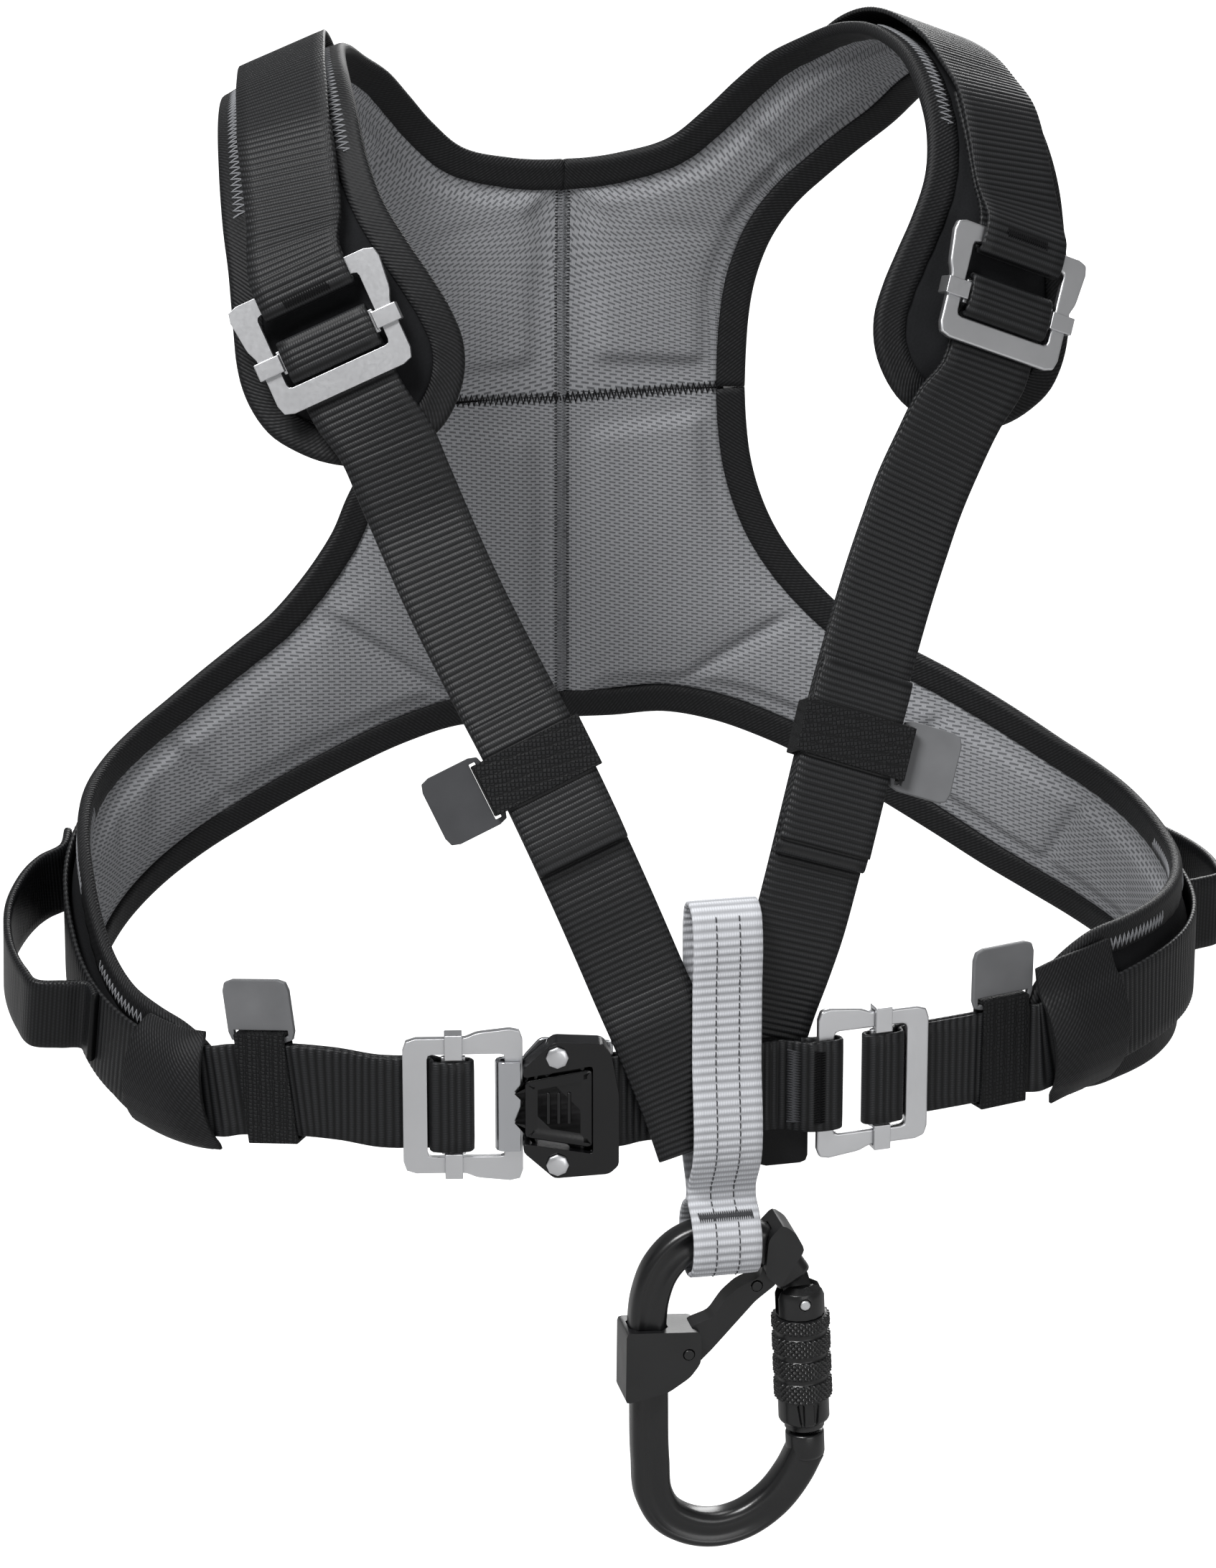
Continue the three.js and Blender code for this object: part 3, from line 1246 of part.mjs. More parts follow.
function gateGeometry() {
  const body = solid(onGate(turned([
    [0, sleeveBottom + 0.4],
    [carabiner.gateRadius, sleeveBottom + 0.4],
    [carabiner.gateRadius, sleeveTop + fit.clearance],
    [carabiner.headRadius, sleeveTop + fit.clearance],
    [carabiner.headRadius, 1],
    [carabiner.headRadius * 0.9, 3],
    [carabiner.headRadius * 0.6, 4.6],
    [0, 4.6],
  ], 16)));
  const slot = new THREE.BoxGeometry(3 * carabiner.headRadius, 20, tongue.thickness + 2 * tongue.room);
  slot.translate(0, 10 - tongue.radius - tongue.room, 0).rotateZ(gateLean).translate(pivot.x, pivot.y, 0);
  const drill = new THREE.CylinderGeometry(hingeHole, hingeHole, 30, 12).rotateX(Math.PI / 2).translate(pivot.x, pivot.y, 0);
  return fromSolid(body.subtract(solid(slot)).subtract(solid(drill)));
}

function sleeveGeometry() {
  const bore = carabiner.gateRadius + fit.clearance;
  const rows = [[bore, sleeveBottom], [lockSleeve.lip, sleeveBottom], [lockSleeve.skirt, sleeveBottom + 3]];
  const bandCount = 3;
  const skirtTop = sleeveBottom + 12;
  const pitch = (sleeveTop - skirtTop) / bandCount;
  for (let k = 0; k < bandCount; k += 1) {
    const start = skirtTop + k * pitch;
    rows.push([lockSleeve.neck, start], [lockSleeve.grip, start + 0.4]);
    rows.push([lockSleeve.grip, start + pitch * 0.52], [lockSleeve.neck, start + pitch * 0.56]);
  }
  rows.push([lockSleeve.neck, sleeveTop], [bore, sleeveTop], [bore, sleeveBottom]);
  return onGate(turned(rows, 14));
}

function captiveGeometry() {
  const block = (points, depth) => solid(plate(roundedOutline(points, 1.5), depth, 2));
  const width = carabiner.halfWidth;
  const tall = carabiner.halfLength;
  const deep = carabiner.rodDepth + 2 * (fit.clearance + captive.clipWall);
  const clip = block([
    [-1.34, 0.44],
    [-1.35, -0.035],
    [-0.82, 0.02],
    [-0.55, 0.11],
    [-0.42, 0.2],
    [-0.42, 0.41],
  ].map(([out, up]) => [out * width, up * tall]), deep);
  const arm = block([
    [-0.52, 0.12],
    [-0.25, 0.255],
    [0.285, 0.555],
    [0.555, 0.66],
    [0.555, 0.8],
    [0.4, 0.86],
    [0.345, 0.715],
    [0.085, 0.66],
    [-0.085, 0.585],
    [-0.25, 0.465],
    [-0.52, 0.42],
  ].map(([out, up]) => [out * width, up * tall]), captive.armDepth);
  const hooked = block([
    [0.37, 0.75],
    [0.56, 0.66],
    [0.86, 0.9],
    [0.74, 1.02],
    [0.58, 1.08],
    [0.41, 0.99],
  ].map(([out, up]) => [out * width, up * tall]), deep);
  const room = solid(rodTube(rodPoints.slice(8), fit.clearance, 22));
  let whole = clip.add(arm).add(hooked).subtract(room);
  for (const [out, up] of captivePins) {
    const drill = new THREE.CylinderGeometry(captive.pinRadius + fit.clearance, captive.pinRadius + fit.clearance, 30, 12);
    whole = whole.subtract(solid(drill.rotateX(Math.PI / 2).translate(out * width, up * tall, 0)));
  }
  return fromSolid(whole);
}

const captivePins = [[-0.57, 0.265], [0.3, 0.655]];
const captiveDeep = [carabiner.rodDepth + 2 * (fit.clearance + captive.clipWall), captive.armDepth];

function pinGeometry(k) {
  const [out, up] = captivePins[k];
  const length = captiveDeep[k] + 2 * captive.pinHead;
  const pin = new THREE.CylinderGeometry(captive.pinRadius, captive.pinRadius, length, 12);
  return pin.rotateX(Math.PI / 2).translate(out * carabiner.halfWidth, up * carabiner.halfLength, 0);
}

add('carabiner_frame', carabinerGeometry(), 'alloy', carabinerGroup);
add('carabiner_gate', gateGeometry(), 'alloy', carabinerGroup);
add('locking_sleeve', sleeveGeometry(), 'alloy', carabinerGroup);
const rivetLength = 2 * carabiner.headRadius + 0.6;
const hingeRivet = new THREE.CylinderGeometry(captive.pinRadius, captive.pinRadius, rivetLength, 12);
add('gate_rivet', hingeRivet.rotateX(Math.PI / 2).translate(pivot.x, pivot.y, 0), 'steel', carabinerGroup);
add('captive_bar', captiveGeometry(), 'cover', carabinerGroup);
add('captive_pin_lower', pinGeometry(0), 'alloy', carabinerGroup);
add('captive_pin_upper', pinGeometry(1), 'alloy', carabinerGroup);

// The model's own origin: under the shoulder pads, midway between them.
const rest = overShoulder(fit.shoulderRestBreadth, 90);
harness.position.set(0, -rest.y, -rest.z);

export default harness;
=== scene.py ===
"""Looks of a padded climbing chest harness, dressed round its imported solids.

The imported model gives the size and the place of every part. Webbing, tape and padding are laid along the
cross rings of their solids, padding is swelled by a cloth simulation, and metal and plastic parts get eased
edges. Lengths are in metres, +Z is up and the wearer faces -Y.
"""

import json
import logging
import math
from dataclasses import dataclass, field
from enum import Enum
from typing import Any, Callable, Sequence

import bmesh
import bpy
import numpy as np
from mathutils import Matrix, Vector
from mathutils.bvhtree import BVHTree

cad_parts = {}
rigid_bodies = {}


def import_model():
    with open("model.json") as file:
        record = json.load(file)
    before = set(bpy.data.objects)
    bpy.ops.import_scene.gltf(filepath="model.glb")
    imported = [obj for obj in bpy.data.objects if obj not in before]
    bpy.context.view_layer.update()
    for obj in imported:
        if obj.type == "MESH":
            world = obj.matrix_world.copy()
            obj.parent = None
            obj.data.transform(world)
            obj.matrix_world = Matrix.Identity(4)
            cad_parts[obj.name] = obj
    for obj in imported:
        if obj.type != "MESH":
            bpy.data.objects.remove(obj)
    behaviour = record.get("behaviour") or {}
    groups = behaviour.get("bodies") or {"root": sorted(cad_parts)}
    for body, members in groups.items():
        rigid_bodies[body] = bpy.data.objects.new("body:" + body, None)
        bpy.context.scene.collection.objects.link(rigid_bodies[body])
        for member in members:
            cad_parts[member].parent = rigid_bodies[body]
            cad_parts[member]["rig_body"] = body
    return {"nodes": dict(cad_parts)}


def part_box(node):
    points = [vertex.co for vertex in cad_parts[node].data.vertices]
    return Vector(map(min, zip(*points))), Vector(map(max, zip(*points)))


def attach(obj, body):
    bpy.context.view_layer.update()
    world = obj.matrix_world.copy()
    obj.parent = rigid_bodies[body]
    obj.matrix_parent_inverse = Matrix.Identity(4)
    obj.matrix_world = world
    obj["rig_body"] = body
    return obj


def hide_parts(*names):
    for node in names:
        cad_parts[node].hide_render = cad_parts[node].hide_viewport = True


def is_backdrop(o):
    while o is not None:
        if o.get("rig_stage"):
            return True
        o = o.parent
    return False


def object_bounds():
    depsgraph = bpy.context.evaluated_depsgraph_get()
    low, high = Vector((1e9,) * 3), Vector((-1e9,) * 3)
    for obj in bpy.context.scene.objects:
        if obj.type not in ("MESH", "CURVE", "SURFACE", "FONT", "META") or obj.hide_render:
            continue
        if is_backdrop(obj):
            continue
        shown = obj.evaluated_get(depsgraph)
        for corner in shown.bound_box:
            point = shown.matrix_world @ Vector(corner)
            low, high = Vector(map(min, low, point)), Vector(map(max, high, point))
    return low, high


log = logging.getLogger("chest_harness")

MM = 0.001
WELD = 2e-6
NECK_ROUNDING = 32 * MM
HARNESS = "harness"
Color = tuple[float, float, float]


class Side(Enum):
    """The two sides of the harness, as the viewer in front of it sees them."""

    LEFT = "left"
    RIGHT = "right"


# Finishes


class Net:
    """The node network of one material, with short ways to add and join nodes."""

    def __init__(self, name: str) -> None:
        """Starts a material of that name.

        Args:
            name: the material's name.
        """
        self.material = bpy.data.materials.new(name)
        self.material.use_nodes = True
        self.tree = self.material.node_tree
        self.shader = self.tree.nodes["Principled BSDF"]

    def add(self, kind: str, **settings: Any) -> bpy.types.Node:
        """Adds a node.

        Args:
            kind: the node's type name after ShaderNode.
            **settings: properties of the node.

        Returns:
            The new node.
        """
        node = self.tree.nodes.new("ShaderNode" + kind)
        for key, value in settings.items():
            setattr(node, key, value)
        return node

    def feed(self, socket: Any, value: Any) -> None:
        """Joins a socket to an input, or sets the input where the value is plain.

        Args:
            socket: the input.
            value: an output socket, a number or a tuple.
        """
        if isinstance(value, bpy.types.NodeSocket):
            self.tree.links.new(value, socket)
        else:
            socket.default_value = value

    def math(self, operation: str, *values: Any) -> Any:
        """Adds a Math node.

        Args:
            operation: the node's operation.
            *values: its inputs, sockets or numbers.

        Returns:
            The output socket.
        """
        node = self.add("Math", operation=operation)
        for socket, value in zip(node.inputs, values):
            self.feed(socket, value)
        return node.outputs[0]

    def mix(self, share: Any, low: Any, high: Any) -> Any:
        """Mixes two colours.

        Args:
            share: the share of the second, a socket or a number.
            low: the first colour.
            high: the second colour.

        Returns:
            The output socket.
        """
        node = self.add("Mix", data_type="RGBA")
        self.feed(node.inputs["Factor"], share)
        for name, value in (("A", low), ("B", high)):
            sockets = [s for s in node.inputs if s.name == name and s.type == "RGBA"]
            whole = value if isinstance(value, bpy.types.NodeSocket) else (*value, 1.0)
            self.feed(sockets[0], whole)
        return [s for s in node.outputs if s.type == "RGBA"][0]

    def parts(self, output: str) -> tuple[Any, Any, Any]:
        """Splits a texture coordinate into its three numbers.

        Args:
            output: UV or Object.

        Returns:
            Their sockets.
        """
        split = self.add("SeparateXYZ")
        self.feed(split.inputs[0], self.add("TexCoord").outputs[output])
        return tuple(split.outputs)

    def noise(self, scale: float, detail: float = 3.0, coordinate: str = "Object") -> Any:
        """Adds a noise texture.

        Args:
            scale: the texture's scale.
            detail: the texture's detail.
            coordinate: the texture coordinate that it lies on.

        Returns:
            The factor socket.
        """
        node = self.add("TexNoise")
        self.feed(node.inputs["Vector"], self.add("TexCoord").outputs[coordinate])
        node.inputs["Scale"].default_value = scale
        node.inputs["Detail"].default_value = detail
        return node.outputs["Fac"]

    def sine(self, value: Any, period: float, shift: Any = 0.0) -> Any:
        """Adds a wave between 0 and 1 of that period along a number, and returns its socket."""
        angle = self.math("MULTIPLY_ADD", value, 2 * math.pi / period, shift)
        return self.math("MULTIPLY_ADD", self.math("SINE", angle), 0.5, 0.5)

    def bump(self, height: Any, distance: float, strength: float = 1.0) -> None:
        """Gives the shader a relief.

        Args:
            height: the socket of the height map.
            distance: the height of the relief in metres.
            strength: how much of it shows.
        """
        node = self.add("Bump")
        node.inputs["Distance"].default_value = distance
        node.inputs["Strength"].default_value = strength
        self.feed(node.inputs["Height"], height)
        self.feed(self.shader.inputs["Normal"], node.outputs["Normal"])


@dataclass(frozen=True)
class Finish:
    """A surface finish; subclasses paint its pattern."""

    name: str
    color: Color
    roughness: float = 0.8
    metallic: float = 0.0
    specular: float = 0.5

    def material(self) -> bpy.types.Material:
        """Makes the material of this finish, or finds it where it is made already.

        Returns:
            The material.
        """
        known = bpy.data.materials.get(self.name + "_finish")
        if known is not None:
            return known
        net = Net(self.name + "_finish")
        inputs = net.shader.inputs
        inputs["Base Color"].default_value = (*self.color, 1.0)
        inputs["Roughness"].default_value = self.roughness
        inputs["Metallic"].default_value = self.metallic
        inputs["Specular IOR Level"].default_value = self.specular
        self.paint(net)
        return net.material

    def paint(self, net: Net) -> None:
        """Adds this finish's own pattern to the network."""
        self.mottle(net, net.noise(220.0), 0.8, 1.25)

    def shade(self, share: float) -> Color:
        """Returns the base colour made lighter or darker by a share."""
        return tuple(min(1.0, c * share) for c in self.color)

    def mottle(self, net: Net, factor: Any, low: float, high: float) -> None:
        """Varies the base colour between two shares of it."""
        net.feed(net.shader.inputs["Base Color"], net.mix(factor, self.shade(low), self.shade(high)))


@dataclass(frozen=True)
class Woven(Finish):
    """Woven tape on UV in metres: cross ribs with yarns that alternate from rib to rib."""

    rib: float = 2.0 * MM
    yarn: float = 0.8 * MM
    relief: float = 0.16 * MM
    contrast: float = 0.85
    lean: float = 0.0

    def paint(self, net: Net) -> None:
        """Paints yarns, the shadow between them, and slight wear.

        Args:
            net: the material's node network.
        """
        along, across, _ = net.parts("UV")
        turned = net.math("MULTIPLY_ADD", across, self.lean, along) if self.lean else along
        row = net.math("FLOOR", net.math("DIVIDE", turned, self.rib))
        yarns = net.sine(across, self.yarn, net.math("MULTIPLY", row, math.pi * 0.9))
        ribs = net.sine(turned, self.rib, -math.pi / 2)
        height = net.math("MULTIPLY", net.math("MULTIPLY_ADD", yarns, 0.45, 0.55), ribs)
        whole = net.math("MULTIPLY_ADD", net.noise(2600.0, 2.0, "UV"), 0.25, height)
        self.mottle(net, whole, 1 - self.contrast, 1 + self.contrast)
        net.bump(whole, self.relief, 0.8)


@dataclass(frozen=True)
class SpacerMesh(Finish):
    """Knitted lining on UV in metres: staggered short openings, painted dark as the shade inside them, over
    fine wales.
    """

    row: float = 1.12 * MM
    pitch: float = 3.9 * MM
    opening: float = 0.66
    # Colour of the painted shade inside the openings.
    dark: Color = (0.06, 0.062, 0.067)

    def paint(self, net: Net) -> None:
        """Paints the openings dark as painted shade inside them, the wales between them lighter on top and
        darker in between as painted shade mixed with random tone, and a soft relief.

        Args:
            net: the material's node network.
        """
        across, along, _ = net.parts("UV")
        lean = net.math("MULTIPLY_ADD", across, 0.14, along)
        rows = net.math("DIVIDE", lean, self.row)
        line = net.math("FLOOR", rows)
        shift = net.math("MULTIPLY", net.math("FLOORED_MODULO", line, 2.0), 0.5)
        cell = net.math("ADD", net.math("DIVIDE", across, self.pitch), shift)
        wide = net.math("LESS_THAN", net.math("FRACT", cell), self.opening)
        level = net.math("ABSOLUTE", net.math("SUBTRACT", net.math("FRACT", rows), 0.5))
        thin = net.math("LESS_THAN", level, 0.25)
        # Mask of the openings: they get painted shade and are sunk in the relief.
        hole = net.math("MULTIPLY", wide, thin)
        wale = net.sine(across, 0.42 * MM)
        knit = net.math("MULTIPLY_ADD", net.noise(1500.0, 2.0), 0.5, net.math("MULTIPLY", wale, 0.5))
        # Wales painted lighter on top and darker between them: painted shade, mixed with random tone from
        # the noise.
        cloth = net.mix(knit, self.shade(0.74), self.shade(1.22))
        # The openings are painted towards the dark colour: painted shade inside them.
        share = net.math("MULTIPLY", hole, net.math("MULTIPLY_ADD", knit, 0.5, 0.5))
        net.feed(net.shader.inputs["Base Color"], net.mix(share, cloth, self.dark))
        height = net.math("SUBTRACT", net.math("MULTIPLY", knit, 0.5), hole)
        net.bump(height, 0.25 * MM, 0.7)


@dataclass(frozen=True)
class Felted(Finish):
    """Close black cloth with a short nap, on Object coordinates."""

    grain: float = 1400.0

    def paint(self, net: Net) -> None:
        """Paints the nap and a slow change of tone.

        Args:
            net: the material's node network.
        """
        nap = net.noise(self.grain, 4.0)
        slow = net.noise(60.0, 2.0)
        both = net.math("MULTIPLY_ADD", slow, 0.5, net.math("MULTIPLY", nap, 0.5))
        self.mottle(net, both, 0.55, 1.6)
        net.bump(nap, 0.25 * MM, 0.6)


@dataclass(frozen=True)
class Elastic(Finish):
    """Woven elastic with a small honeycomb relief and painted shade in its sunken cell edges, on Object
    coordinates.
    """

    cell: float = 1.25 * MM

    def paint(self, net: Net) -> None:
        """Paints the honeycomb as painted shade and highlight: sunken cell edges darker, raised cell
        middles lighter.

        Args:
            net: the material's node network.
        """
        cells = net.add("TexVoronoi", feature="DISTANCE_TO_EDGE")
        net.feed(cells.inputs["Vector"], net.add("TexCoord").outputs["Object"])
        cells.inputs["Scale"].default_value = 1.0 / self.cell
        cells.inputs["Randomness"].default_value = 0.25
        edge = net.math("MINIMUM", net.math("MULTIPLY", cells.outputs["Distance"], 4.0), 1.0)
        # Painted shade: the cell edges, sunk in the relief, darker; the raised middles lighter.
        self.mottle(net, edge, 0.5, 1.7)
        net.bump(edge, 0.3 * MM, 0.8)


@dataclass(frozen=True)
class Metal(Finish):
    """Satin or polished metal with fine handling marks, on Object coordinates."""

    marks: float = 0.12
    scale: float = 900.0

    def paint(self, net: Net) -> None:
        """Varies tone and roughness, with a slight relief.

        Args:
            net: the material's node network.
        """
        fine = net.noise(self.scale, 5.0)
        slow = net.noise(45.0, 2.0)
        self.mottle(net, slow, 1 - self.marks, 1 + self.marks * 0.5)
        rough = net.math("MULTIPLY_ADD", fine, self.marks, self.roughness - self.marks / 2)
        net.feed(net.shader.inputs["Roughness"], rough)
        net.bump(fine, 0.02 * MM, 0.35)


@dataclass(frozen=True)
class Moulded(Finish):
    """Moulded plastic or anodised metal with a fine orange-peel grain, on Object coordinates."""

    grain: float = 1500.0
    relief: float = 0.03 * MM

    def paint(self, net: Net) -> None:
        """Adds the grain, and rubbed patches a little smoother than the rest.

        Args:
            net: the material's node network.
        """
        fine = net.noise(self.grain, 2.0)
        slow = net.noise(70.0, 3.0)
        self.mottle(net, slow, 0.8, 1.3)
        rough = net.math("MULTIPLY_ADD", slow, 0.16, self.roughness - 0.08)
        net.feed(net.shader.inputs["Roughness"], rough)
        net.bump(fine, self.relief, 0.6)


@dataclass(frozen=True)
class Floor(Finish):
    """Plain pale floor of a studio, which glows for the camera alone."""

    glow: float = 0.3

    def paint(self, net: Net) -> None:
        """Leaves the surface even, with a barely seen grain.

        Args:
            net: the material's node network.
        """
        self.mottle(net, net.noise(3.0), 0.99, 1.0)
        seen = net.add("LightPath").outputs["Is Camera Ray"]
        net.shader.inputs["Emission Color"].default_value = (1.0, 1.0, 1.0, 1.0)
        net.feed(net.shader.inputs["Emission Strength"], net.math("MULTIPLY", seen, self.glow))


BLACK_WEBBING = Woven("black_webbing", (0.0105, 0.0108, 0.0116), 0.45, specular=0.2)
BAND_WEBBING = Woven("band_webbing", (0.0095, 0.0098, 0.0106), 0.45, specular=0.2, rib=2.45 * MM)
GREY_WEBBING = Woven("grey_webbing", (0.42, 0.428, 0.452), 0.75, specular=0.2, rib=2.6 * MM, contrast=0.34)
BINDING = Woven(
    "edge_binding", (0.0085, 0.0087, 0.0094), 0.55, specular=0.18, rib=1.3 * MM, yarn=1.6 * MM, lean=0.8,
)
LINING = SpacerMesh("mesh_lining", (0.27, 0.275, 0.288), 0.9, specular=0.1)
FELT = Felted("black_felt", (0.009, 0.0093, 0.0102), 0.9, specular=0.1)
ELASTIC = Elastic("elastic_band", (0.007, 0.0072, 0.0077), 0.6, specular=0.15)
GEAR_CLOTH = Woven(
    "gear_cloth", (0.007, 0.0073, 0.008), 0.4, specular=0.2, rib=1.2 * MM, yarn=1.2 * MM, relief=0.1 * MM,
)
SATIN_STEEL = Metal("satin_steel", (0.62, 0.625, 0.64), 0.38, 1.0)
POLISHED_STEEL = Metal("polished_steel", (0.5, 0.51, 0.53), 0.22, 1.0, marks=0.08)
GLOSS_BLACK = Moulded("gloss_black", (0.0032, 0.0032, 0.0036), 0.24, specular=0.4)
TAB_GREY = Moulded("tab_grey", (0.12, 0.122, 0.127), 0.5, specular=0.2)
TAB_DARK = Moulded("tab_dark", (0.04, 0.041, 0.044), 0.5, specular=0.2)
BLACK_ALLOY = Moulded("black_alloy", (0.005, 0.0051, 0.0055), 0.28, specular=0.5)
BLACK_POLYMER = Moulded("black_polymer", (0.006, 0.0061, 0.0066), 0.36, specular=0.45)
LABEL_CLOTH = Felted("label_cloth", (0.005, 0.005, 0.0055), 0.6, grain=3000.0, specular=0.15)
BLACK_THREAD = Felted("black_thread", (0.004, 0.004, 0.0045), 0.7, grain=4000.0, specular=0.1)
DARK_THREAD = Felted("dark_thread", (0.05, 0.051, 0.055), 0.7, grain=4000.0, specular=0.1)
GREY_THREAD = Felted("grey_thread", (0.2, 0.204, 0.215), 0.7, grain=4000.0, specular=0.1)
PALE_FLOOR = Floor("pale_floor", (0.4, 0.4, 0.4), 0.9, specular=0.0, glow=0.9)


# Rings and paths


def merged_copy(node: bpy.types.Object) -> bmesh.types.BMesh:
    """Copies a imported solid's mesh and joins its loose triangles.

    Args:
        node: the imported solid.

    Returns:
        The copy.
    """
    bm = bmesh.new()
    bm.from_mesh(node.data)
    bmesh.ops.remove_doubles(bm, verts=bm.verts, dist=WELD)
    bm.verts.ensure_lookup_table()
    return bm


class RingReader:
    """Reads back the cross rings of a solid that was laid out ring by ring."""

    def __init__(self, node: bpy.types.Object, count: int) -> None:
        """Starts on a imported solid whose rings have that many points.

        Args:
            node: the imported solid.
            count: the number of points in a ring.
        """
        self.count = count
        bm = merged_copy(node)
        self.points = [v.co.copy() for v in bm.verts]
        self.near = [{e.other_vert(v).index for e in v.link_edges} for v in bm.verts]
        bm.free()

    def gap(self, a: int, b: int) -> float:
        """Returns the distance between two points."""
        return (self.points[a] - self.points[b]).length

    def cluster(self, seed: int, among: set[int]) -> set[int]:
        """Finds the points among a set that are joined to a seed through it.

        Args:
            seed: the first point.
            among: the set.

        Returns:
            The points found, with the seed.
        """
        found, todo = {seed}, [seed]
        while todo:
            for other in (self.near[todo.pop()] & among) - found:
                found.add(other)
                todo.append(other)
        return found

    def way(self, start: int, end: int) -> list[int]:
        """Finds the shortest way along edges between two points.

        Args:
            start: the first point.
            end: the last point.

        Returns:
            The points on the way, with both ends.
        """
        came, todo = {start: start}, [start]
        while end not in came:
            todo = [b for a in todo for b in self.near[a] if came.setdefault(b, a) == a and b != start]
        line = [end]
        while line[-1] != start:
            line.append(came[line[-1]])
        return line[::-1]

    def square_ring(self, corners: set[int]) -> list[int]:
        """Orders the four corners of a flat ring, a short side first.

        Args:
            corners: the ring's points, in any order.

        Returns:
            The corners in order.
        """
        first = min(corners)
        second = min(corners - {first}, key=lambda k: self.gap(first, k))
        third, fourth = sorted(corners - {first, second}, key=lambda k: self.gap(second, k))
        return [first, second, third, fourth]

    def first_ring(self, start: Callable[[Vector], float]) -> list[int]:
        """Finds the ring at the end of the solid where a measure is least.

        Args:
            start: the measure of a point.

        Returns:
            The ring's points in order, one half of the ring facing the other.
        """
        ends = {k for k, near in enumerate(self.near) if len(near) < 6}
        seed = min(ends, key=lambda k: start(self.points[k]))
        corner = self.cluster(seed, ends)
        if self.count == 4:
            return self.square_ring(corner)
        others = [self.cluster(k, ends) for k in ends - corner]
        opposite = [g for g in others if min(len(self.way(seed, k)) for k in g) == self.count // 2]
        facing = min(opposite, key=lambda group: self.gap(seed, min(group)))
        busy, quiet = sorted(corner, key=lambda k: -len(self.near[k]))
        far_busy, far_quiet = sorted(facing, key=lambda k: -len(self.near[k]))
        return self.way(busy, far_quiet) + self.way(quiet, far_busy)[::-1]

    def closed_start(self) -> list[int]:
        """Finds one ring of a solid that is a closed loop.

        Returns:
            The ring's points in order.
        """
        first = min(range(len(self.points)), key=lambda k: self.points[k].z + self.points[k].x)
        second = min(self.near[first], key=lambda k: self.gap(first, k))
        rest = {
            min(self.near[k], key=lambda n: abs(self.points[n].z - self.points[k].z)
                + abs(self.points[n].y - self.points[k].y) + (n in (first, second)))
            for k in (first, second)
        }
        return self.square_ring({first, second} | rest)

    def walk(self, ring: list[int]) -> np.ndarray:
        """Follows the solid from a first ring to its last.

        Args:
            ring: the points of the first ring, in order.

        Returns:
            The rings' points as an array of rings, points and coordinates.
        """
        rings, seen = [ring], set(ring)
        while True:
            ring = rings[-1]
            fresh = set().union(*(self.near[k] for k in ring)) - seen
            if len(fresh) < self.count:
                break
            if len(fresh) > self.count:
                fresh = self.cluster(max(fresh, key=lambda k: self.points[k].z), fresh)
            touching = [self.near[k] & fresh for k in ring]
            choices = []
            for step in (-1, 1):
                shared = [touching[k] & touching[(k + step) % self.count] for k in range(self.count)]
                if all(len(s) == 1 for s in shared):
                    line = [next(iter(s)) for s in shared]
                    choices.append((sum(self.gap(a, b) for a, b in zip(ring, line)), line))
            rings.append(min(choices)[1])
            seen |= set(rings[-1])
        return np.array([[self.points[k][:] for k in ring] for ring in rings])


def smooth_at(values: np.ndarray, at: np.ndarray, new: np.ndarray) -> np.ndarray:
    """Reads values on one smooth curve between given ones.

    Args:
        values: the values, one row for each position.
        at: the rising positions of the rows.
        new: the positions to read.

    Returns:
        The values at the new positions.
    """
    slopes = np.gradient(values, at, axis=0)
    k = np.clip(np.searchsorted(at, new, side="right") - 1, 0, len(at) - 2)
    shape = (-1,) + (1,) * (values.ndim - 1)
    width = (at[k + 1] - at[k]).reshape(shape)
    t = (new - at[k]).reshape(shape) / width
    return (
        (2 * t**3 - 3 * t**2 + 1) * values[k]
        + (t**3 - 2 * t**2 + t) * width * slopes[k]
        + (3 * t**2 - 2 * t**3) * values[k + 1]
        + (t**3 - t**2) * width * slopes[k + 1]
    )


def unit(vectors: np.ndarray) -> np.ndarray:
    """Returns vectors at length 1."""
    return vectors / np.maximum(np.linalg.norm(vectors, axis=-1, keepdims=True), 1e-12)


def travelled(points: np.ndarray) -> np.ndarray:
    """Returns the distance covered at each point of a line."""
    steps = np.linalg.norm(np.diff(points, axis=0), axis=1)
    return np.concatenate([[0.0], np.cumsum(np.maximum(steps, 1e-7))])


def ease(t: Any) -> Any:
    """Returns a share from 0 to 1 with soft ends."""
    t = np.clip(t, 0.0, 1.0)
    return t * t * (3 - 2 * t)


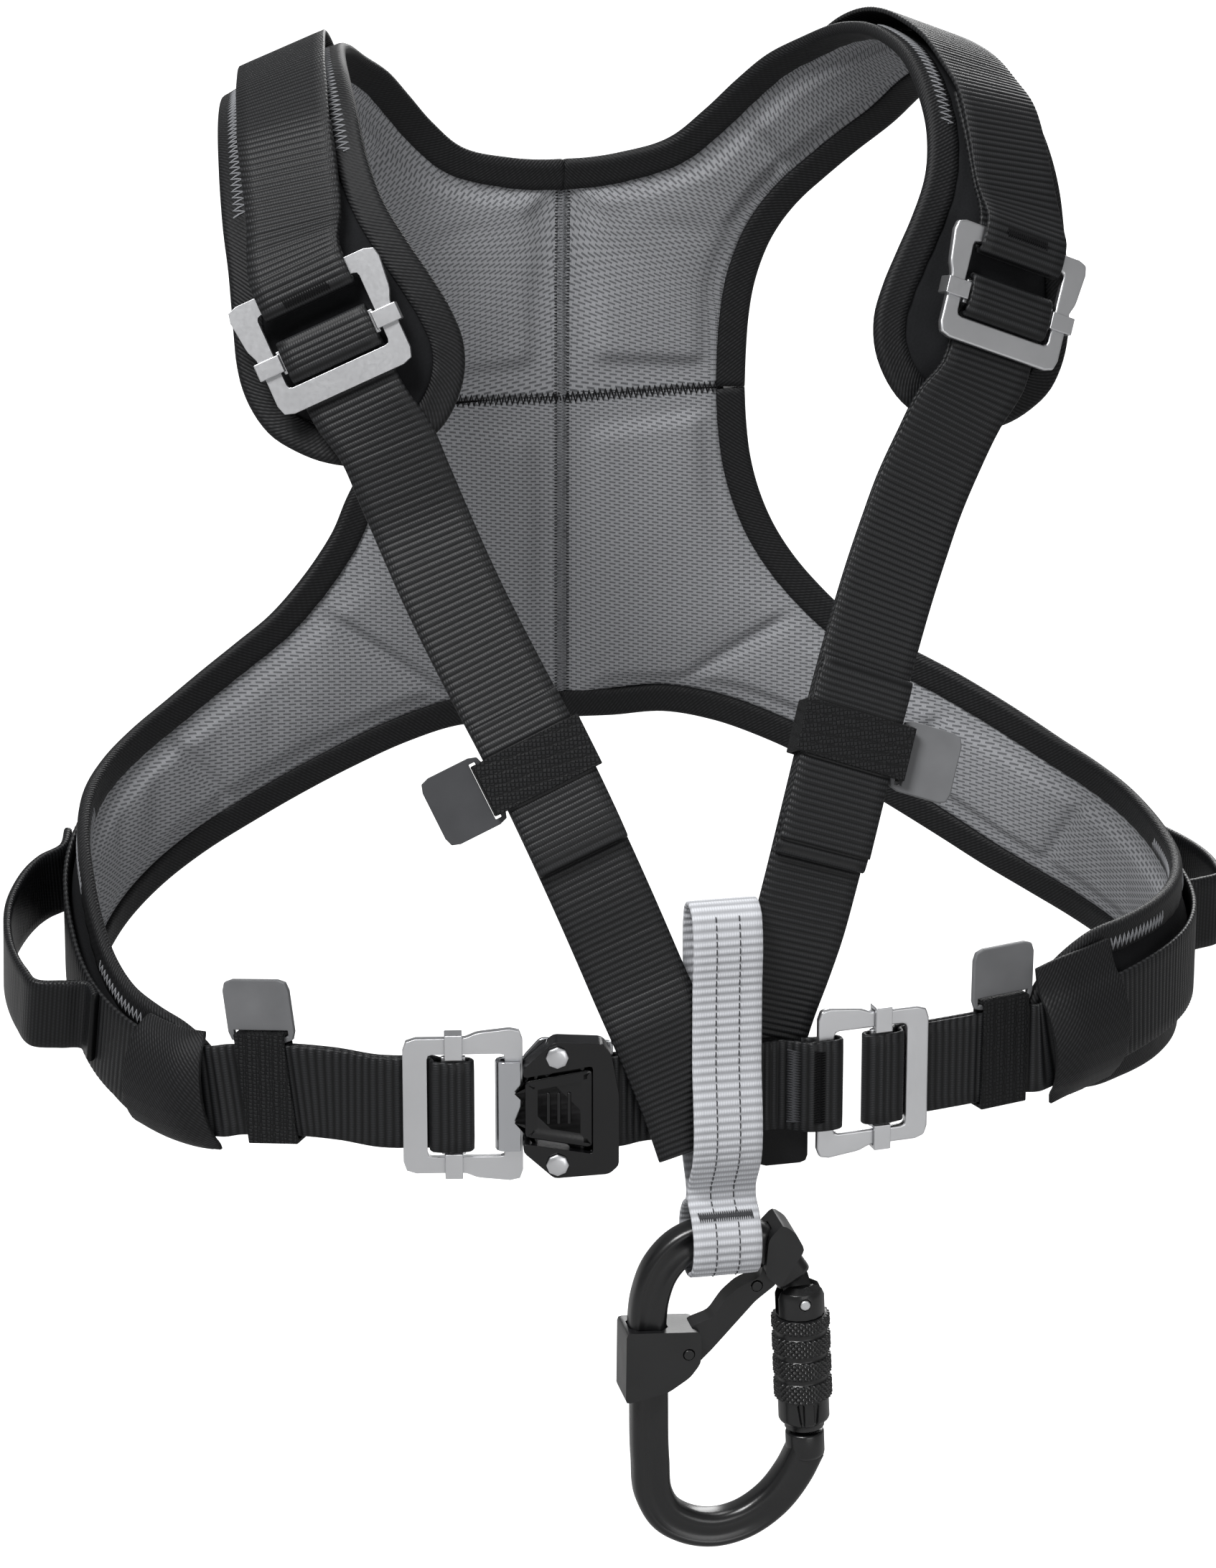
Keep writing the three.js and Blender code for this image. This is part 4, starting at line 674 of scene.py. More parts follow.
class Path:
    """The middle line of a flat band, with its directions across and outwards."""

    def __init__(self, rings: np.ndarray, closed: bool = False) -> None:
        """Takes four-point rings, a short side first.

        Args:
            rings: the rings of the band, one after another.
            closed: whether the band is a closed ring.
        """
        if closed:
            rings = np.concatenate([rings[-2:], rings, rings[:3]])
        self.centre = rings.mean(axis=1)
        self.across = (rings[:, 0] + rings[:, 1] - rings[:, 2] - rings[:, 3]) / 4
        self.out = (rings[:, 0] - rings[:, 1] - rings[:, 2] + rings[:, 3]) / 4
        self.half_width = float(np.median(np.linalg.norm(self.across, axis=1)))
        self.half_thick = float(np.median(np.linalg.norm(self.out, axis=1)))
        outward = self.centre.copy()
        outward[:, 2] = 0.0
        if np.sum(np.einsum("ij,ij->i", unit(outward), unit(self.out)) > 0) < len(rings) / 2:
            self.out = -self.out
        self.at = travelled(self.centre)
        self.start, self.end = (self.at[2], self.at[-3]) if closed else (0.0, self.at[-1])

    def frames(self, s: np.ndarray) -> tuple[np.ndarray, np.ndarray, np.ndarray]:
        """Reads the band's frame at places along it.

        Args:
            s: the distances along the band.

        Returns:
            The centres, the unit directions across and the unit directions outwards.
        """
        centre = smooth_at(self.centre, self.at, s)
        across = unit(smooth_at(unit(self.across), self.at, s))
        out = unit(smooth_at(unit(self.out), self.at, s))
        return centre, across, unit(out - across * np.sum(out * across, axis=1, keepdims=True))


def sweep(points: np.ndarray, uv: np.ndarray, loop: bool = False) -> bmesh.types.BMesh:
    """Bends a flat grid into a tube.

    Args:
        points: positions, as rows along the tube, columns round it and coordinates.
        uv: the pattern's position at each point, with one column more, where the tube closes.
        loop: whether the last row is the first again.

    Returns:
        The mesh, welded, closed at the ends of the tube, with its faces outwards.
    """
    rows, columns = points.shape[0], points.shape[1] + 1
    bm = bmesh.new()
    bmesh.ops.create_grid(bm, x_segments=rows - 1, y_segments=columns - 1, size=1.0)
    bm.verts.index_update()
    coordinates = np.array([v.co[:] for v in bm.verts])
    row = np.rint((coordinates[:, 0] + 1) / 2 * (rows - 1)).astype(int)
    column = np.rint((coordinates[:, 1] + 1) / 2 * (columns - 1)).astype(int)
    placed = points[row % (rows - 1) if loop else row, column % points.shape[1]]
    for v, co in zip(bm.verts, placed):
        v.co = co
    layer = bm.loops.layers.uv.new("UVMap")
    pattern = uv[row, column]
    for face in bm.faces:
        for corner in face.loops:
            corner[layer].uv = pattern[corner.vert.index]
    bmesh.ops.remove_doubles(bm, verts=bm.verts, dist=WELD)
    crease = bm.edges.layers.float.new("crease_edge")
    rims = [e for e in bm.edges if e.is_boundary]
    if rims:
        for edge in rims:
            edge[crease] = 1.0
        for cap in bmesh.ops.holes_fill(bm, edges=rims, sides=0)["faces"]:
            ladder(bm, cap)
    bmesh.ops.recalc_face_normals(bm, faces=bm.faces)
    return bm


def ladder(bm: bmesh.types.BMesh, cap: bmesh.types.BMFace) -> None:
    """Splits the closing face of a flat tube into cells that join its two sides.

    Args:
        bm: the mesh, changed in place.
        cap: the closing face.
    """
    verts = list(cap.verts)
    count = len(verts)
    steps = range(count // 2)

    def length(turn: int) -> float:
        """Returns the length of all rungs where the ladder starts at that corner."""
        return sum((verts[(turn + k) % count].co - verts[(turn - 1 - k) % count].co).length for k in steps)

    turn = min(steps, key=length)
    for k in range(1, count // 2 - 1):
        bmesh.ops.connect_verts(bm, verts=[verts[(turn + k) % count], verts[(turn - 1 - k) % count]])


# The workshop


class Workshop:
    """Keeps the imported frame, and hands over each finished piece to it."""

    def __init__(self) -> None:
        """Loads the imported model."""
        self.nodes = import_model()["nodes"]
        self.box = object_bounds()
        self.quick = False
        self.paths: dict[str, Path] = {}

    def body(self, node: str) -> str:
        """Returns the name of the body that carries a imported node."""
        return self.nodes[node]["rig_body"]

    def centre(self, node: str) -> Vector:
        """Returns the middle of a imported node's box."""
        low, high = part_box(node)
        return (low + high) / 2

    def path(self, node: str) -> Path:
        """Reads the band path of a packed ribbon, once.

        Args:
            node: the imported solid.

        Returns:
            The path.
        """
        if node not in self.paths:
            reader = RingReader(self.nodes[node], 4)
            self.paths[node] = Path(reader.walk(reader.first_ring(lambda p: -p.z)))
        return self.paths[node]

    def piece(
        self, name: str, bm: bmesh.types.BMesh, finishes: Sequence[Finish], body: str,
    ) -> bpy.types.Object:
        """Makes a shown object of a mesh.

        Args:
            name: the piece's name.
            bm: its mesh, which is used up.
            finishes: its finishes, by the faces' material number.
            body: the body that carries it.

        Returns:
            The new object.
        """
        mesh = bpy.data.meshes.new(name)
        for face in bm.faces:
            face.smooth = True
        bm.to_mesh(mesh)
        bm.free()
        for finish in finishes:
            mesh.materials.append(finish.material())
        obj = bpy.data.objects.new(name, mesh)
        bpy.context.scene.collection.objects.link(obj)
        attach(obj, body)
        log.info("%s: %d faces", name, len(mesh.polygons))
        return obj

    def stand_in(self, obj: bpy.types.Object, slot: str, *nodes: str) -> bpy.types.Object:
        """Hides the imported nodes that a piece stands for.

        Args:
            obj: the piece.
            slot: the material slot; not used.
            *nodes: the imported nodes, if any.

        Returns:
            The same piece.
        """
        if nodes:
            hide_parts(*nodes)
        return obj


# Webbing and tape


@dataclass
class Band:
    """A woven band with real cross ribs, laid along a packed ribbon."""

    node: str
    finish: Finish
    slot: str
    pitch: float = 2.0 * MM
    rib: float = 0.34 * MM
    step: float = 0.45 * MM
    columns: int = 9

    def section(self, half_width: float, half_thick: float) -> np.ndarray:
        """Draws the outline of the band.

        Args:
            half_width: half the band's width.
            half_thick: half its thickness.

        Returns:
            The places across and outwards of each point, and how much the ribs show there.
        """
        flat = np.linspace(-1, 1, self.columns) * (half_width - half_thick * 0.6)
        top = [(a, half_thick, 1.0 if abs(a) < half_width * 0.93 else 0.5) for a in flat]
        edge = [(half_width - half_thick * 0.12, half_thick * 0.6, 0.2), (half_width, 0.0, 0.0)]
        right = edge + [(a, -b, r) for a, b, r in edge[::-1][1:]]
        left = [(-a, b, r) for a, b, r in right[::-1]]
        under = [(a, -b, r) for a, b, r in top[::-1]]
        return np.array(top + right + under + left)

    def build(self, shop: Workshop, path: Path, loop: bool = False) -> bpy.types.Object:
        """Lays the band.

        Args:
            shop: the workshop.
            path: the line to follow.
            loop: whether the band is a closed ring.

        Returns:
            The finished piece.
        """
        count = max(8, int((path.end - path.start) / self.step))
        s = np.linspace(path.start, path.end, count + 1)
        centre, across, out = path.frames(s)
        section = self.section(path.half_width, path.half_thick)
        wave = np.abs(np.sin(math.pi * s / self.pitch)) ** 0.7 - 0.6
        lift = np.sign(section[:, 1]) * section[:, 2] * self.rib * wave[:, None]
        points = (
            centre[:, None]
            + across[:, None] * section[None, :, 0, None]
            + out[:, None] * (section[None, :, 1] + lift)[..., None]
        )
        ring = np.concatenate([section[:, 0], section[:1, 0]])
        uv = np.stack(np.broadcast_arrays(s[:, None], ring[None, :]), axis=-1)
        bm = sweep(points, uv, loop=loop)
        obj = shop.piece(self.node + "_woven", bm, [self.finish], shop.body(self.node))
        return shop.stand_in(obj, self.slot, self.node)


@dataclass
class Binding:
    """Tape folded over the edge of a pad, rounded at its outer edge."""

    node: str
    step: float = 2.2 * MM
    roundness: int = 6
    reach: float = 1.0 * MM
    middle_reach: float = 4.0 * MM
    middle_width: float = 8 * MM
    ripple: float = 0.12 * MM
    ripple_pitch: float = 9 * MM
    rounding: float = NECK_ROUNDING
    bend_near: float = 6 * MM
    bend_far: float = 18 * MM
    bend: float = 0.0

    def build(self, shop: Workshop) -> bpy.types.Object:
        """Sweeps the folded tape along the edge of the pad.

        Args:
            shop: the workshop.

        Returns:
            The finished piece.
        """
        reader = RingReader(shop.nodes[self.node], 4)
        rings = reader.walk(reader.first_ring(lambda p: abs(p.x)))
        for end, inner in ((0, 1), (-1, -2)):
            ahead = unit(rings[end].mean(axis=0) - rings[inner].mean(axis=0))
            centred = abs(rings[end, :, 0].mean()) < self.middle_width
            rings[end] += ahead * (self.middle_reach if centred else self.reach)
        path = Path(rings)
        shop.paths[self.node] = path
        free = self.free_side(shop, path)
        count = int(path.end / self.step)
        s = np.linspace(0.0, path.end, count + 1)
        centre, across, out = path.frames(s)
        width, thick = path.half_width, path.half_thick
        turn = np.linspace(-math.pi / 2, math.pi / 2, self.roundness + 2)
        bend = [(width - thick + thick * math.cos(a), thick * math.sin(a)) for a in turn]
        flat = [-width, -width * 0.93, -width * 0.5, 0.0, width * 0.4]
        low = [(a, -thick * (0.72 if k == 0 else 0.98)) for k, a in enumerate(flat)]
        high = [(a, -b) for a, b in low[::-1]]
        section = np.array(low + bend + high)
        wave = self.ripple * np.sin(s * 2 * math.pi / self.ripple_pitch)
        ripple = wave[:, None] * (section[:, 0] < 0)[None]
        points = (
            centre[:, None]
            + free * across[:, None] * section[None, :, 0, None]
            + out[:, None] * (section[None, :, 1] + ripple * np.sign(section[:, 1]))[..., None]
        )
        side = np.sign(centre[count // 2, 0])
        points[..., 0] = side * np.maximum(points[..., 0] * side, 0.02 * MM)
        self.round_off(points, centre)
        girth = travelled(np.concatenate([section, section[:1]]))
        uv = np.stack(np.broadcast_arrays(s[:, None], girth[None, :]), axis=-1)
        obj = shop.piece(self.node + "_tape", sweep(points, uv), [BINDING], shop.body(self.node))
        return shop.stand_in(obj, "edge_binding", self.node)

    def round_off(self, points: np.ndarray, centre: np.ndarray) -> None:
        """Lets the tape run level through the middle of the back, where both sides meet.

        Args:
            points: the rings of the tape, changed in place.
            centre: the tape's middle line.
        """
        out = np.abs(centre[:, 0])
        for half in (slice(0, len(out) // 2), slice(len(out) // 2, len(out))):
            if out[half].min() > 2 * MM:
                continue
            near, far = (
                half.start + int(np.argmin(np.abs(out[half] - x))) for x in (self.bend_near, self.bend_far)
            )
            self.bend = float((centre[far, 2] - centre[near, 2]) / (out[far] - out[near]))
            left = np.clip(self.rounding - np.abs(points[half, :, 0]), 0.0, None)
            points[half, :, 2] += self.bend * left ** 2 / (2 * self.rounding)

    def free_side(self, shop: Workshop, path: Path) -> int:
        """Tells which way along the path's across direction leads off the pad.

        Args:
            shop: the workshop.
            path: the tape's path.

        Returns:
            1 or -1.
        """
        pad = shop.nodes[self.node.replace("binding", "pad")]
        middle = np.mean([v.co[:] for v in pad.data.vertices], axis=0)
        away = path.centre - middle
        return 1 if np.sum(away * unit(path.across)) > 0 else -1


@dataclass
class EndSleeve:
    """Tape sleeve that closes the end of a pad round the chest band."""

    side: Side
    rows: int = 14
    columns: int = 9
    guard: float = 1 * MM

    def build(self, shop: Workshop) -> bpy.types.Object:
        """Sweeps the sleeve's section along the band.

        Args:
            shop: the workshop.

        Returns:
            The finished piece.
        """
        node = f"pad_sleeve_{self.side.value}"
        reader = RingReader(shop.nodes[node], 12)
        rings = reader.walk(reader.first_ring(lambda p: -abs(p.x)))
        at = travelled(rings.mean(axis=1))
        s = np.linspace(0.0, at[-1], self.rows)
        rings = smooth_at(rings, at, s)
        halves = []
        for half in (rings[:, :6], rings[:, 6:]):
            span = travelled(half.mean(axis=0))
            even = np.linspace(0, span[-1], self.columns)
            near = np.sort(np.concatenate([even, span[1:-1] - self.guard, span[1:-1] + self.guard]))
            columns = [smooth_at(row, span, near) for row in half]
            halves.append(np.array(columns))
        points = np.concatenate(halves, axis=1)
        girth = travelled(np.concatenate([points[0], points[0, :1]]))
        uv = np.stack(np.broadcast_arrays(s[:, None], girth[None, :]), axis=-1)
        obj = shop.piece(node + "_tape", sweep(points, uv), [BINDING], shop.body(node))
        bevel = obj.modifiers.new("Edge", "BEVEL")
        bevel.width = 0.4 * MM
        bevel.segments = 2
        bevel.angle_limit = math.radians(50)
        return shop.stand_in(obj, "edge_binding", node)


# Padding


@dataclass
class Pad:
    """A padded quarter: grey mesh with raised foam blocks inside, black cloth outside."""

    node: str
    thickness: float = 9 * MM
    edge: float = 3 * MM
    step: float = 3.6 * MM
    columns: int = 17
    tuck: float = 2.2 * MM
    seam_reach: float = 1.3 * MM
    seam_margin: float = 9.0 * MM
    tape_margin: float = 4.0 * MM
    block_slope: float = 3.2 * MM
    groove_reach: float = 3.2 * MM
    swell_in: float = 1.4 * MM
    swell_out: float = 0.7 * MM
    pressure: float = 4.0
    crown_reach: float = 11 * MM
    cloth_frames: int = 20
    bend: float = 0.0
    rounding: float = NECK_ROUNDING
    corner_tuck: float = 4.0 * MM
    corner_width: float = 16 * MM
    corner_depth: float = 22 * MM
    cells: list[tuple[int, int, int, int]] = field(default_factory=list)

    def read(self, shop: Workshop) -> None:
        """Reads the inner face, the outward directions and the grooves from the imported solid.

        Args:
            shop: the workshop.
        """
        reader = RingReader(shop.nodes[self.node], 10)
        rings = reader.walk(reader.first_ring(self.start_measure()))
        first, second = rings[:, :5], rings[:, 5:][:, ::-1]
        under, above = (first, second) if self.is_under(first, second) else (second, first)
        self.normal = unit(above - under)
        gap = np.linalg.norm(above - under, axis=-1)
        face = above - self.normal * self.thickness
        for k in (0, 4):
            face[:, k] = under[:, k] - self.normal[:, k] * self.edge
        self.face = face
        self.at = travelled(face.mean(axis=1))
        self.grooves = self.at[gap[:, 2] < self.thickness * 0.75]

    def start_measure(self) -> Callable[[Vector], float]:
        """Chooses a measure that is least at the pad's seam end.

        Returns:
            The measure of a point.
        """
        if self.node.startswith("side"):
            return lambda p: abs(p.x) - p.z
        return lambda p: abs(p.x) + p.z

    def is_under(self, first: np.ndarray, second: np.ndarray) -> bool:
        """Tells which of a pad's two faces is the inner one.

        Args:
            first: the points of one face.
            second: the points of the other.

        Returns:
            Whether the first is nearer the trunk's middle than the second.
        """
        middle = np.array([0.0, 0.0, -0.2])
        first_away = np.linalg.norm(first - middle, axis=-1).mean()
        second_away = np.linalg.norm(second - middle, axis=-1).mean()
        return first_away < second_away

    def stations(self) -> np.ndarray:
        """Places rows along the pad, close together and with every ring's own.

        Returns:
            Their positions, rising.
        """
        parts = []
        for a, b in zip(self.at[:-1], self.at[1:]):
            count = max(1, int(math.ceil((b - a) / self.step)))
            parts.extend(a + (b - a) * k / count for k in range(count))
        return np.array(parts + [self.at[-1]])

    def layout(self) -> None:
        """Works out the fine grid of the inner face, and how far each point is from the first edge."""
        s = self.stations()
        rows = smooth_at(self.face, self.at, s)
        normals = unit(smooth_at(self.normal, self.at, s))
        shares = np.linspace(0, 1, self.columns)
        places, outs, reach = [], [], []
        for row, normal in zip(rows, normals):
            span = travelled(row)
            near = shares * span[-1]
            line = smooth_at(row, span, near)
            for end, inner in ((0, 1), (-1, -2)):
                if self.on_seam(line[end]):
                    line[end][0] = math.copysign(0.03 * MM, line[inner][0])
                else:
                    line[end] += unit(line[end] - line[inner]) * self.tuck
            places.append(line)
            outs.append(unit(smooth_at(normal, span, near)))
            reach.append(near)
        self.s, self.grid, self.outs, self.reach = s, np.array(places), np.array(outs), np.array(reach)
        self.follow_tape()
        self.grid[0] += unit(self.grid[0] - self.grid[1]) * self.seam_reach
        self.grid[-1] += unit(self.grid[-1] - self.grid[-2]) * self.tuck

    def follow_tape(self) -> None:
        """Lifts the corner in the middle of the back, so that it stays inside the rounded tape."""
        up = -1.0 if self.node.startswith("side") else 1.0
        seam = [row[0, 2] for row in self.grid if self.on_seam(row[0])]
        edge = max(seam) if up > 0 else min(seam)
        out = np.abs(self.grid[..., 0])
        left = np.clip(self.rounding - out, 0.0, None)
        close = ease(1.0 - (edge - self.grid[..., 2]) * up / self.corner_depth)
        rounded = self.bend * left ** 2 / (2 * self.rounding)
        tucked = up * self.corner_tuck * ease(1.0 - out / self.corner_width)
        self.grid[..., 2] += close * (rounded + tucked)
        log.info("%s bends by %.2f at its seam", self.node, self.bend)

    def on_seam(self, point: np.ndarray) -> bool:
        """Tells whether an edge point lies on the seam in the middle of the back."""
        return bool(abs(point[0]) < 1.2 * MM)

    def blocks(self) -> np.ndarray:
        """Works out how far the foam is raised at each point of the inner face.

        Returns:
            Shares from 0 to 1.
        """
        width = self.reach[:, -1:]
        seam = np.array([self.on_seam(row[0]) for row in self.grid])[:, None]
        near_margin = np.where(seam, self.seam_margin, self.tape_margin)
        low = ease((self.reach - near_margin) / self.block_slope)
        high = ease((width - self.reach - self.tape_margin) / self.block_slope)
        raised = low * high
        first = ease((self.s - self.seam_margin) / self.block_slope)
        last = ease((self.s[-1] - self.s - self.tape_margin) / self.block_slope)
        raised *= (first * last)[:, None]
        for groove in self.grooves:
            raised *= ease((np.abs(self.s - groove) - 0.6 * MM) / self.groove_reach)[:, None]
        return raised

    def build(self, shop: Workshop) -> bpy.types.Object:
        """Makes the pad: closed shell, swelled, then smoothed.

        Args:
            shop: the workshop.

        Returns:
            The finished piece.
        """
        self.read(shop)
        self.layout()
        raised = self.blocks()
        width = self.reach[:, -1:]
        margin = np.minimum(self.reach, width - self.reach)
        crown = ease(margin / self.crown_reach)
        inner = self.edge * (1.05 - 0.95 * raised)
        outer = self.thickness - self.edge * (1 - crown)
        inside = self.grid + self.outs * inner[..., None]
        outside = self.grid + self.outs * outer[..., None]
        ring = np.concatenate([inside, outside[:, ::-1]], axis=1)
        pattern = self.pattern()
        uv = np.concatenate([pattern, pattern[:, ::-1], pattern[:, :1]], axis=1)
        bm = sweep(ring, uv)
        self.paint_faces(bm)
        self.hold_seam(bm)
        obj = shop.piece(self.node + "_stuffed", bm, [LINING, FELT], shop.body(self.node))
        shop.stand_in(obj, "mesh_lining", self.node)
        if not shop.quick:
            self.swell(obj, raised)
        fine = obj.modifiers.new("Fine", "SUBSURF")
        fine.levels = fine.render_levels = 1
        return obj

    def pattern(self) -> np.ndarray:
        """Lays the lining's cloth: across and along a shoulder, round and up the ribs.

        Returns:
            The place on the cloth of each point of the fine grid, in metres.
        """
        if self.node.startswith("side"):
            x, y, z = self.grid[..., 0], self.grid[..., 1], self.grid[..., 2]
            around = np.arctan2(x, y + 0.03) * 0.14
            return np.stack([around, z], axis=-1)
        middle = self.reach - self.reach[:, -1:] / 2
        return np.stack(np.broadcast_arrays(middle, self.s[:, None]), axis=-1)

    def paint_faces(self, bm: bmesh.types.BMesh) -> None:
        """Gives outward faces the black cloth, and the rest the lining.

        Args:
            bm: the mesh, changed in place.
        """
        flat = self.grid.reshape(-1, 3)
        outs = self.outs.reshape(-1, 3)
        tree = BVHTree.FromPolygons([tuple(p) for p in flat], self.quads())
        for face in bm.faces:
            middle = face.calc_center_median()
            place, _, index, _ = tree.find_nearest(middle)
            across = Vector(outs[self.quads()[index][0]]) if index is not None else Vector((0, 0, 1))
            face.material_index = 1 if (middle - place).dot(across) > self.thickness / 2 else 0

    def hold_seam(self, bm: bmesh.types.BMesh) -> None:
        """Keeps the edge along the middle of the back in place where the pad is smoothed.

        Args:
            bm: the mesh, changed in place.
        """
        crease = bm.edges.layers.float["crease_edge"]
        for edge in bm.edges:
            if all(abs(v.co.x) < 0.2 * MM for v in edge.verts):
                edge[crease] = 1.0

    def quads(self) -> list[tuple[int, int, int, int]]:
        """Numbers the corners of each cell of the fine grid, once.

        Returns:
            Four point numbers for each cell.
        """
        if not self.cells:
            rows, columns = self.grid.shape[:2]
            self.cells = [
                (r * columns + c, r * columns + c + 1, (r + 1) * columns + c + 1, (r + 1) * columns + c)
                for r in range(rows - 1) for c in range(columns - 1)
            ]
        return self.cells

    def swell(self, obj: bpy.types.Object, raised: np.ndarray) -> None:
        """Swells the pad with a cloth simulation under pressure, its edges and grooves held.

        Args:
            obj: the pad.
            raised: how far the foam is raised at each point of the inner face.
        """
        scene = bpy.context.scene
        rest = np.array([v.co[:] for v in obj.data.vertices])
        tree = BVHTree.FromPolygons([tuple(p) for p in self.grid.reshape(-1, 3)], self.quads())
        outs, height = self.outs.reshape(-1, 3), raised.reshape(-1)
        held = obj.vertex_groups.new(name="held")
        limits = np.zeros(len(rest))
        for k, co in enumerate(rest):
            place, _, index, _ = tree.find_nearest(Vector(co))
            corner = self.quads()[index][0]
            outer = float(np.dot(co - np.array(place), outs[corner])) > self.thickness * 0.6
            limits[k] = self.swell_out if outer else self.swell_in
            if height[corner] < 0.25 and not outer:
                held.add([k], 1.0, "REPLACE")
            elif height[corner] < 0.05:
                held.add([k], 0.8, "REPLACE")
        cloth = obj.modifiers.new("Cloth", "CLOTH")
        cloth.settings.quality = 4
        cloth.settings.mass = 0.3
        cloth.settings.tension_stiffness = 8
        cloth.settings.compression_stiffness = 8
        cloth.settings.bending_stiffness = 0.4
        cloth.settings.use_pressure = True
        cloth.settings.uniform_pressure_force = self.pressure
        cloth.settings.vertex_group_mass = held.name
        cloth.settings.effector_weights.gravity = 0
        cloth.collision_settings.use_collision = False
        for number in range(1, self.cloth_frames + 1):
            scene.frame_set(number)
        swelled = obj.evaluated_get(bpy.context.evaluated_depsgraph_get()).to_mesh()
        moved = np.array([v.co[:] for v in swelled.vertices]) - rest
        far = np.maximum(np.linalg.norm(moved, axis=1), 1e-9)
        share = np.minimum(1.0, limits / far)
        for v, co in zip(obj.data.vertices, rest + moved * share[:, None]):
            v.co = co
        obj.modifiers.remove(cloth)
        obj.vertex_groups.remove(held)
        scene.frame_set(1)
        log.info("%s swelled by %.2f mm at most", obj.name, float((far * share).max() / MM))


# Stitching


@dataclass
class SewingLine:
    """A line on a piece's surface that thread follows, with the direction off the surface."""

    points: np.ndarray
    off: np.ndarray

    def frames(self, step: float) -> tuple[np.ndarray, np.ndarray, np.ndarray, np.ndarray]:
        """Reads the line at even distances.

        Args:
            step: about the distance between two readings.

        Returns:
            The distances, the places, the directions aside and the directions off the surface.
        """
        at = travelled(self.points)
        s = np.linspace(0.0, at[-1], max(2, int(at[-1] / step) + 1))
        place = smooth_at(self.points, at, s)
        off = unit(smooth_at(self.off, at, s))
        ahead = unit(np.gradient(place, s, axis=0))
        return s, place, unit(np.cross(ahead, off)), off

    def zigzag(self, width: float, pitch: float, aside: float = 0.0, lift: float = 0.12 * MM) -> np.ndarray:
        """Lays a zigzag thread, whose ends dip into the surface and whose strokes stand off it.

        Args:
            width: the width of the zigzag.
            pitch: the length of one stroke there and back.
            aside: how far it lies beside the line.
            lift: how far it dips in and, a little more, stands off.

        Returns:
            The points of the thread.
        """
        s, place, side, off = self.frames(pitch / 4)
        beat = np.arange(len(s)) % 4
        swing = np.choose(beat, [-0.5, 0.0, 0.5, 0.0]) * width + aside
        rise = np.choose(beat, [-lift, lift * 1.6, -lift, lift * 1.6])
        return place + side * swing[:, None] + off * rise[:, None]

    def running(self, pitch: float, aside: float = 0.0, lift: float = 0.15 * MM) -> list[np.ndarray]:
        """Lays a row of straight stitches.

        Args:
            pitch: the length of a stitch with its gap; the stitch takes up two thirds of it.
            aside: how far the row lies beside the line.
            lift: how far a stitch stands off, and its ends dip in.

        Returns:
            The points of each stitch.
        """
        s, place, side, off = self.frames(pitch / 6)
        base = place + side * aside
        out = []
        for k in range(0, len(s) - 6, 6):
            rise = np.array([-lift, lift, lift, lift, -lift])[:, None]
            out.append(base[k:k + 5] + off[k:k + 5] * rise)
        return out

    def marks(self, aside: float, width: float, pitch: float) -> list[np.ndarray]:
        """Lays short cross marks beside the line.

        Args:
            aside: how far their middles lie beside the line.
            width: their length.
            pitch: the distance between two.

        Returns:
            The points of each mark.
        """
        s, place, side, off = self.frames(pitch)
        ends = [place + side * (aside + width * share) + off * rise * MM
                for share, rise in ((-0.5, -0.1), (0.0, 0.12), (0.5, -0.1))]
        return [np.array([line[k] for line in ends]) for k in range(len(s))]


def sew(
    shop: Workshop, name: str, lines: Sequence[np.ndarray], finish: Finish, radius: float,
    slot: str = "edge_binding",
) -> bpy.types.Object:
    """Makes thread along lines, on the harness's own body.

    Args:
        shop: the workshop.
        name: the piece's name.
        lines: the points of each thread.
        finish: the thread's finish.
        radius: the thread's radius.
        slot: the material slot it belongs to.

    Returns:
        The finished piece.
    """
    curve = bpy.data.curves.new(name, "CURVE")
    curve.dimensions = "3D"
    curve.bevel_depth = radius
    curve.bevel_resolution = 0
    curve.use_fill_caps = True
    for line in lines:
        spline = curve.splines.new("POLY")
        spline.points.add(len(line) - 1)
        spline.points.foreach_set("co", np.hstack([line, np.ones((len(line), 1))]).ravel())
    holder = bpy.data.objects.new(name + "_line", curve)
    bpy.context.scene.collection.objects.link(holder)
    mesh = bpy.data.meshes.new_from_object(holder.evaluated_get(bpy.context.evaluated_depsgraph_get()))
    bpy.data.objects.remove(holder)
    bm = bmesh.new()
    bm.from_mesh(mesh)
    bpy.data.meshes.remove(mesh)
    return shop.stand_in(shop.piece(name, bm, [finish], HARNESS), slot)


# Hard parts


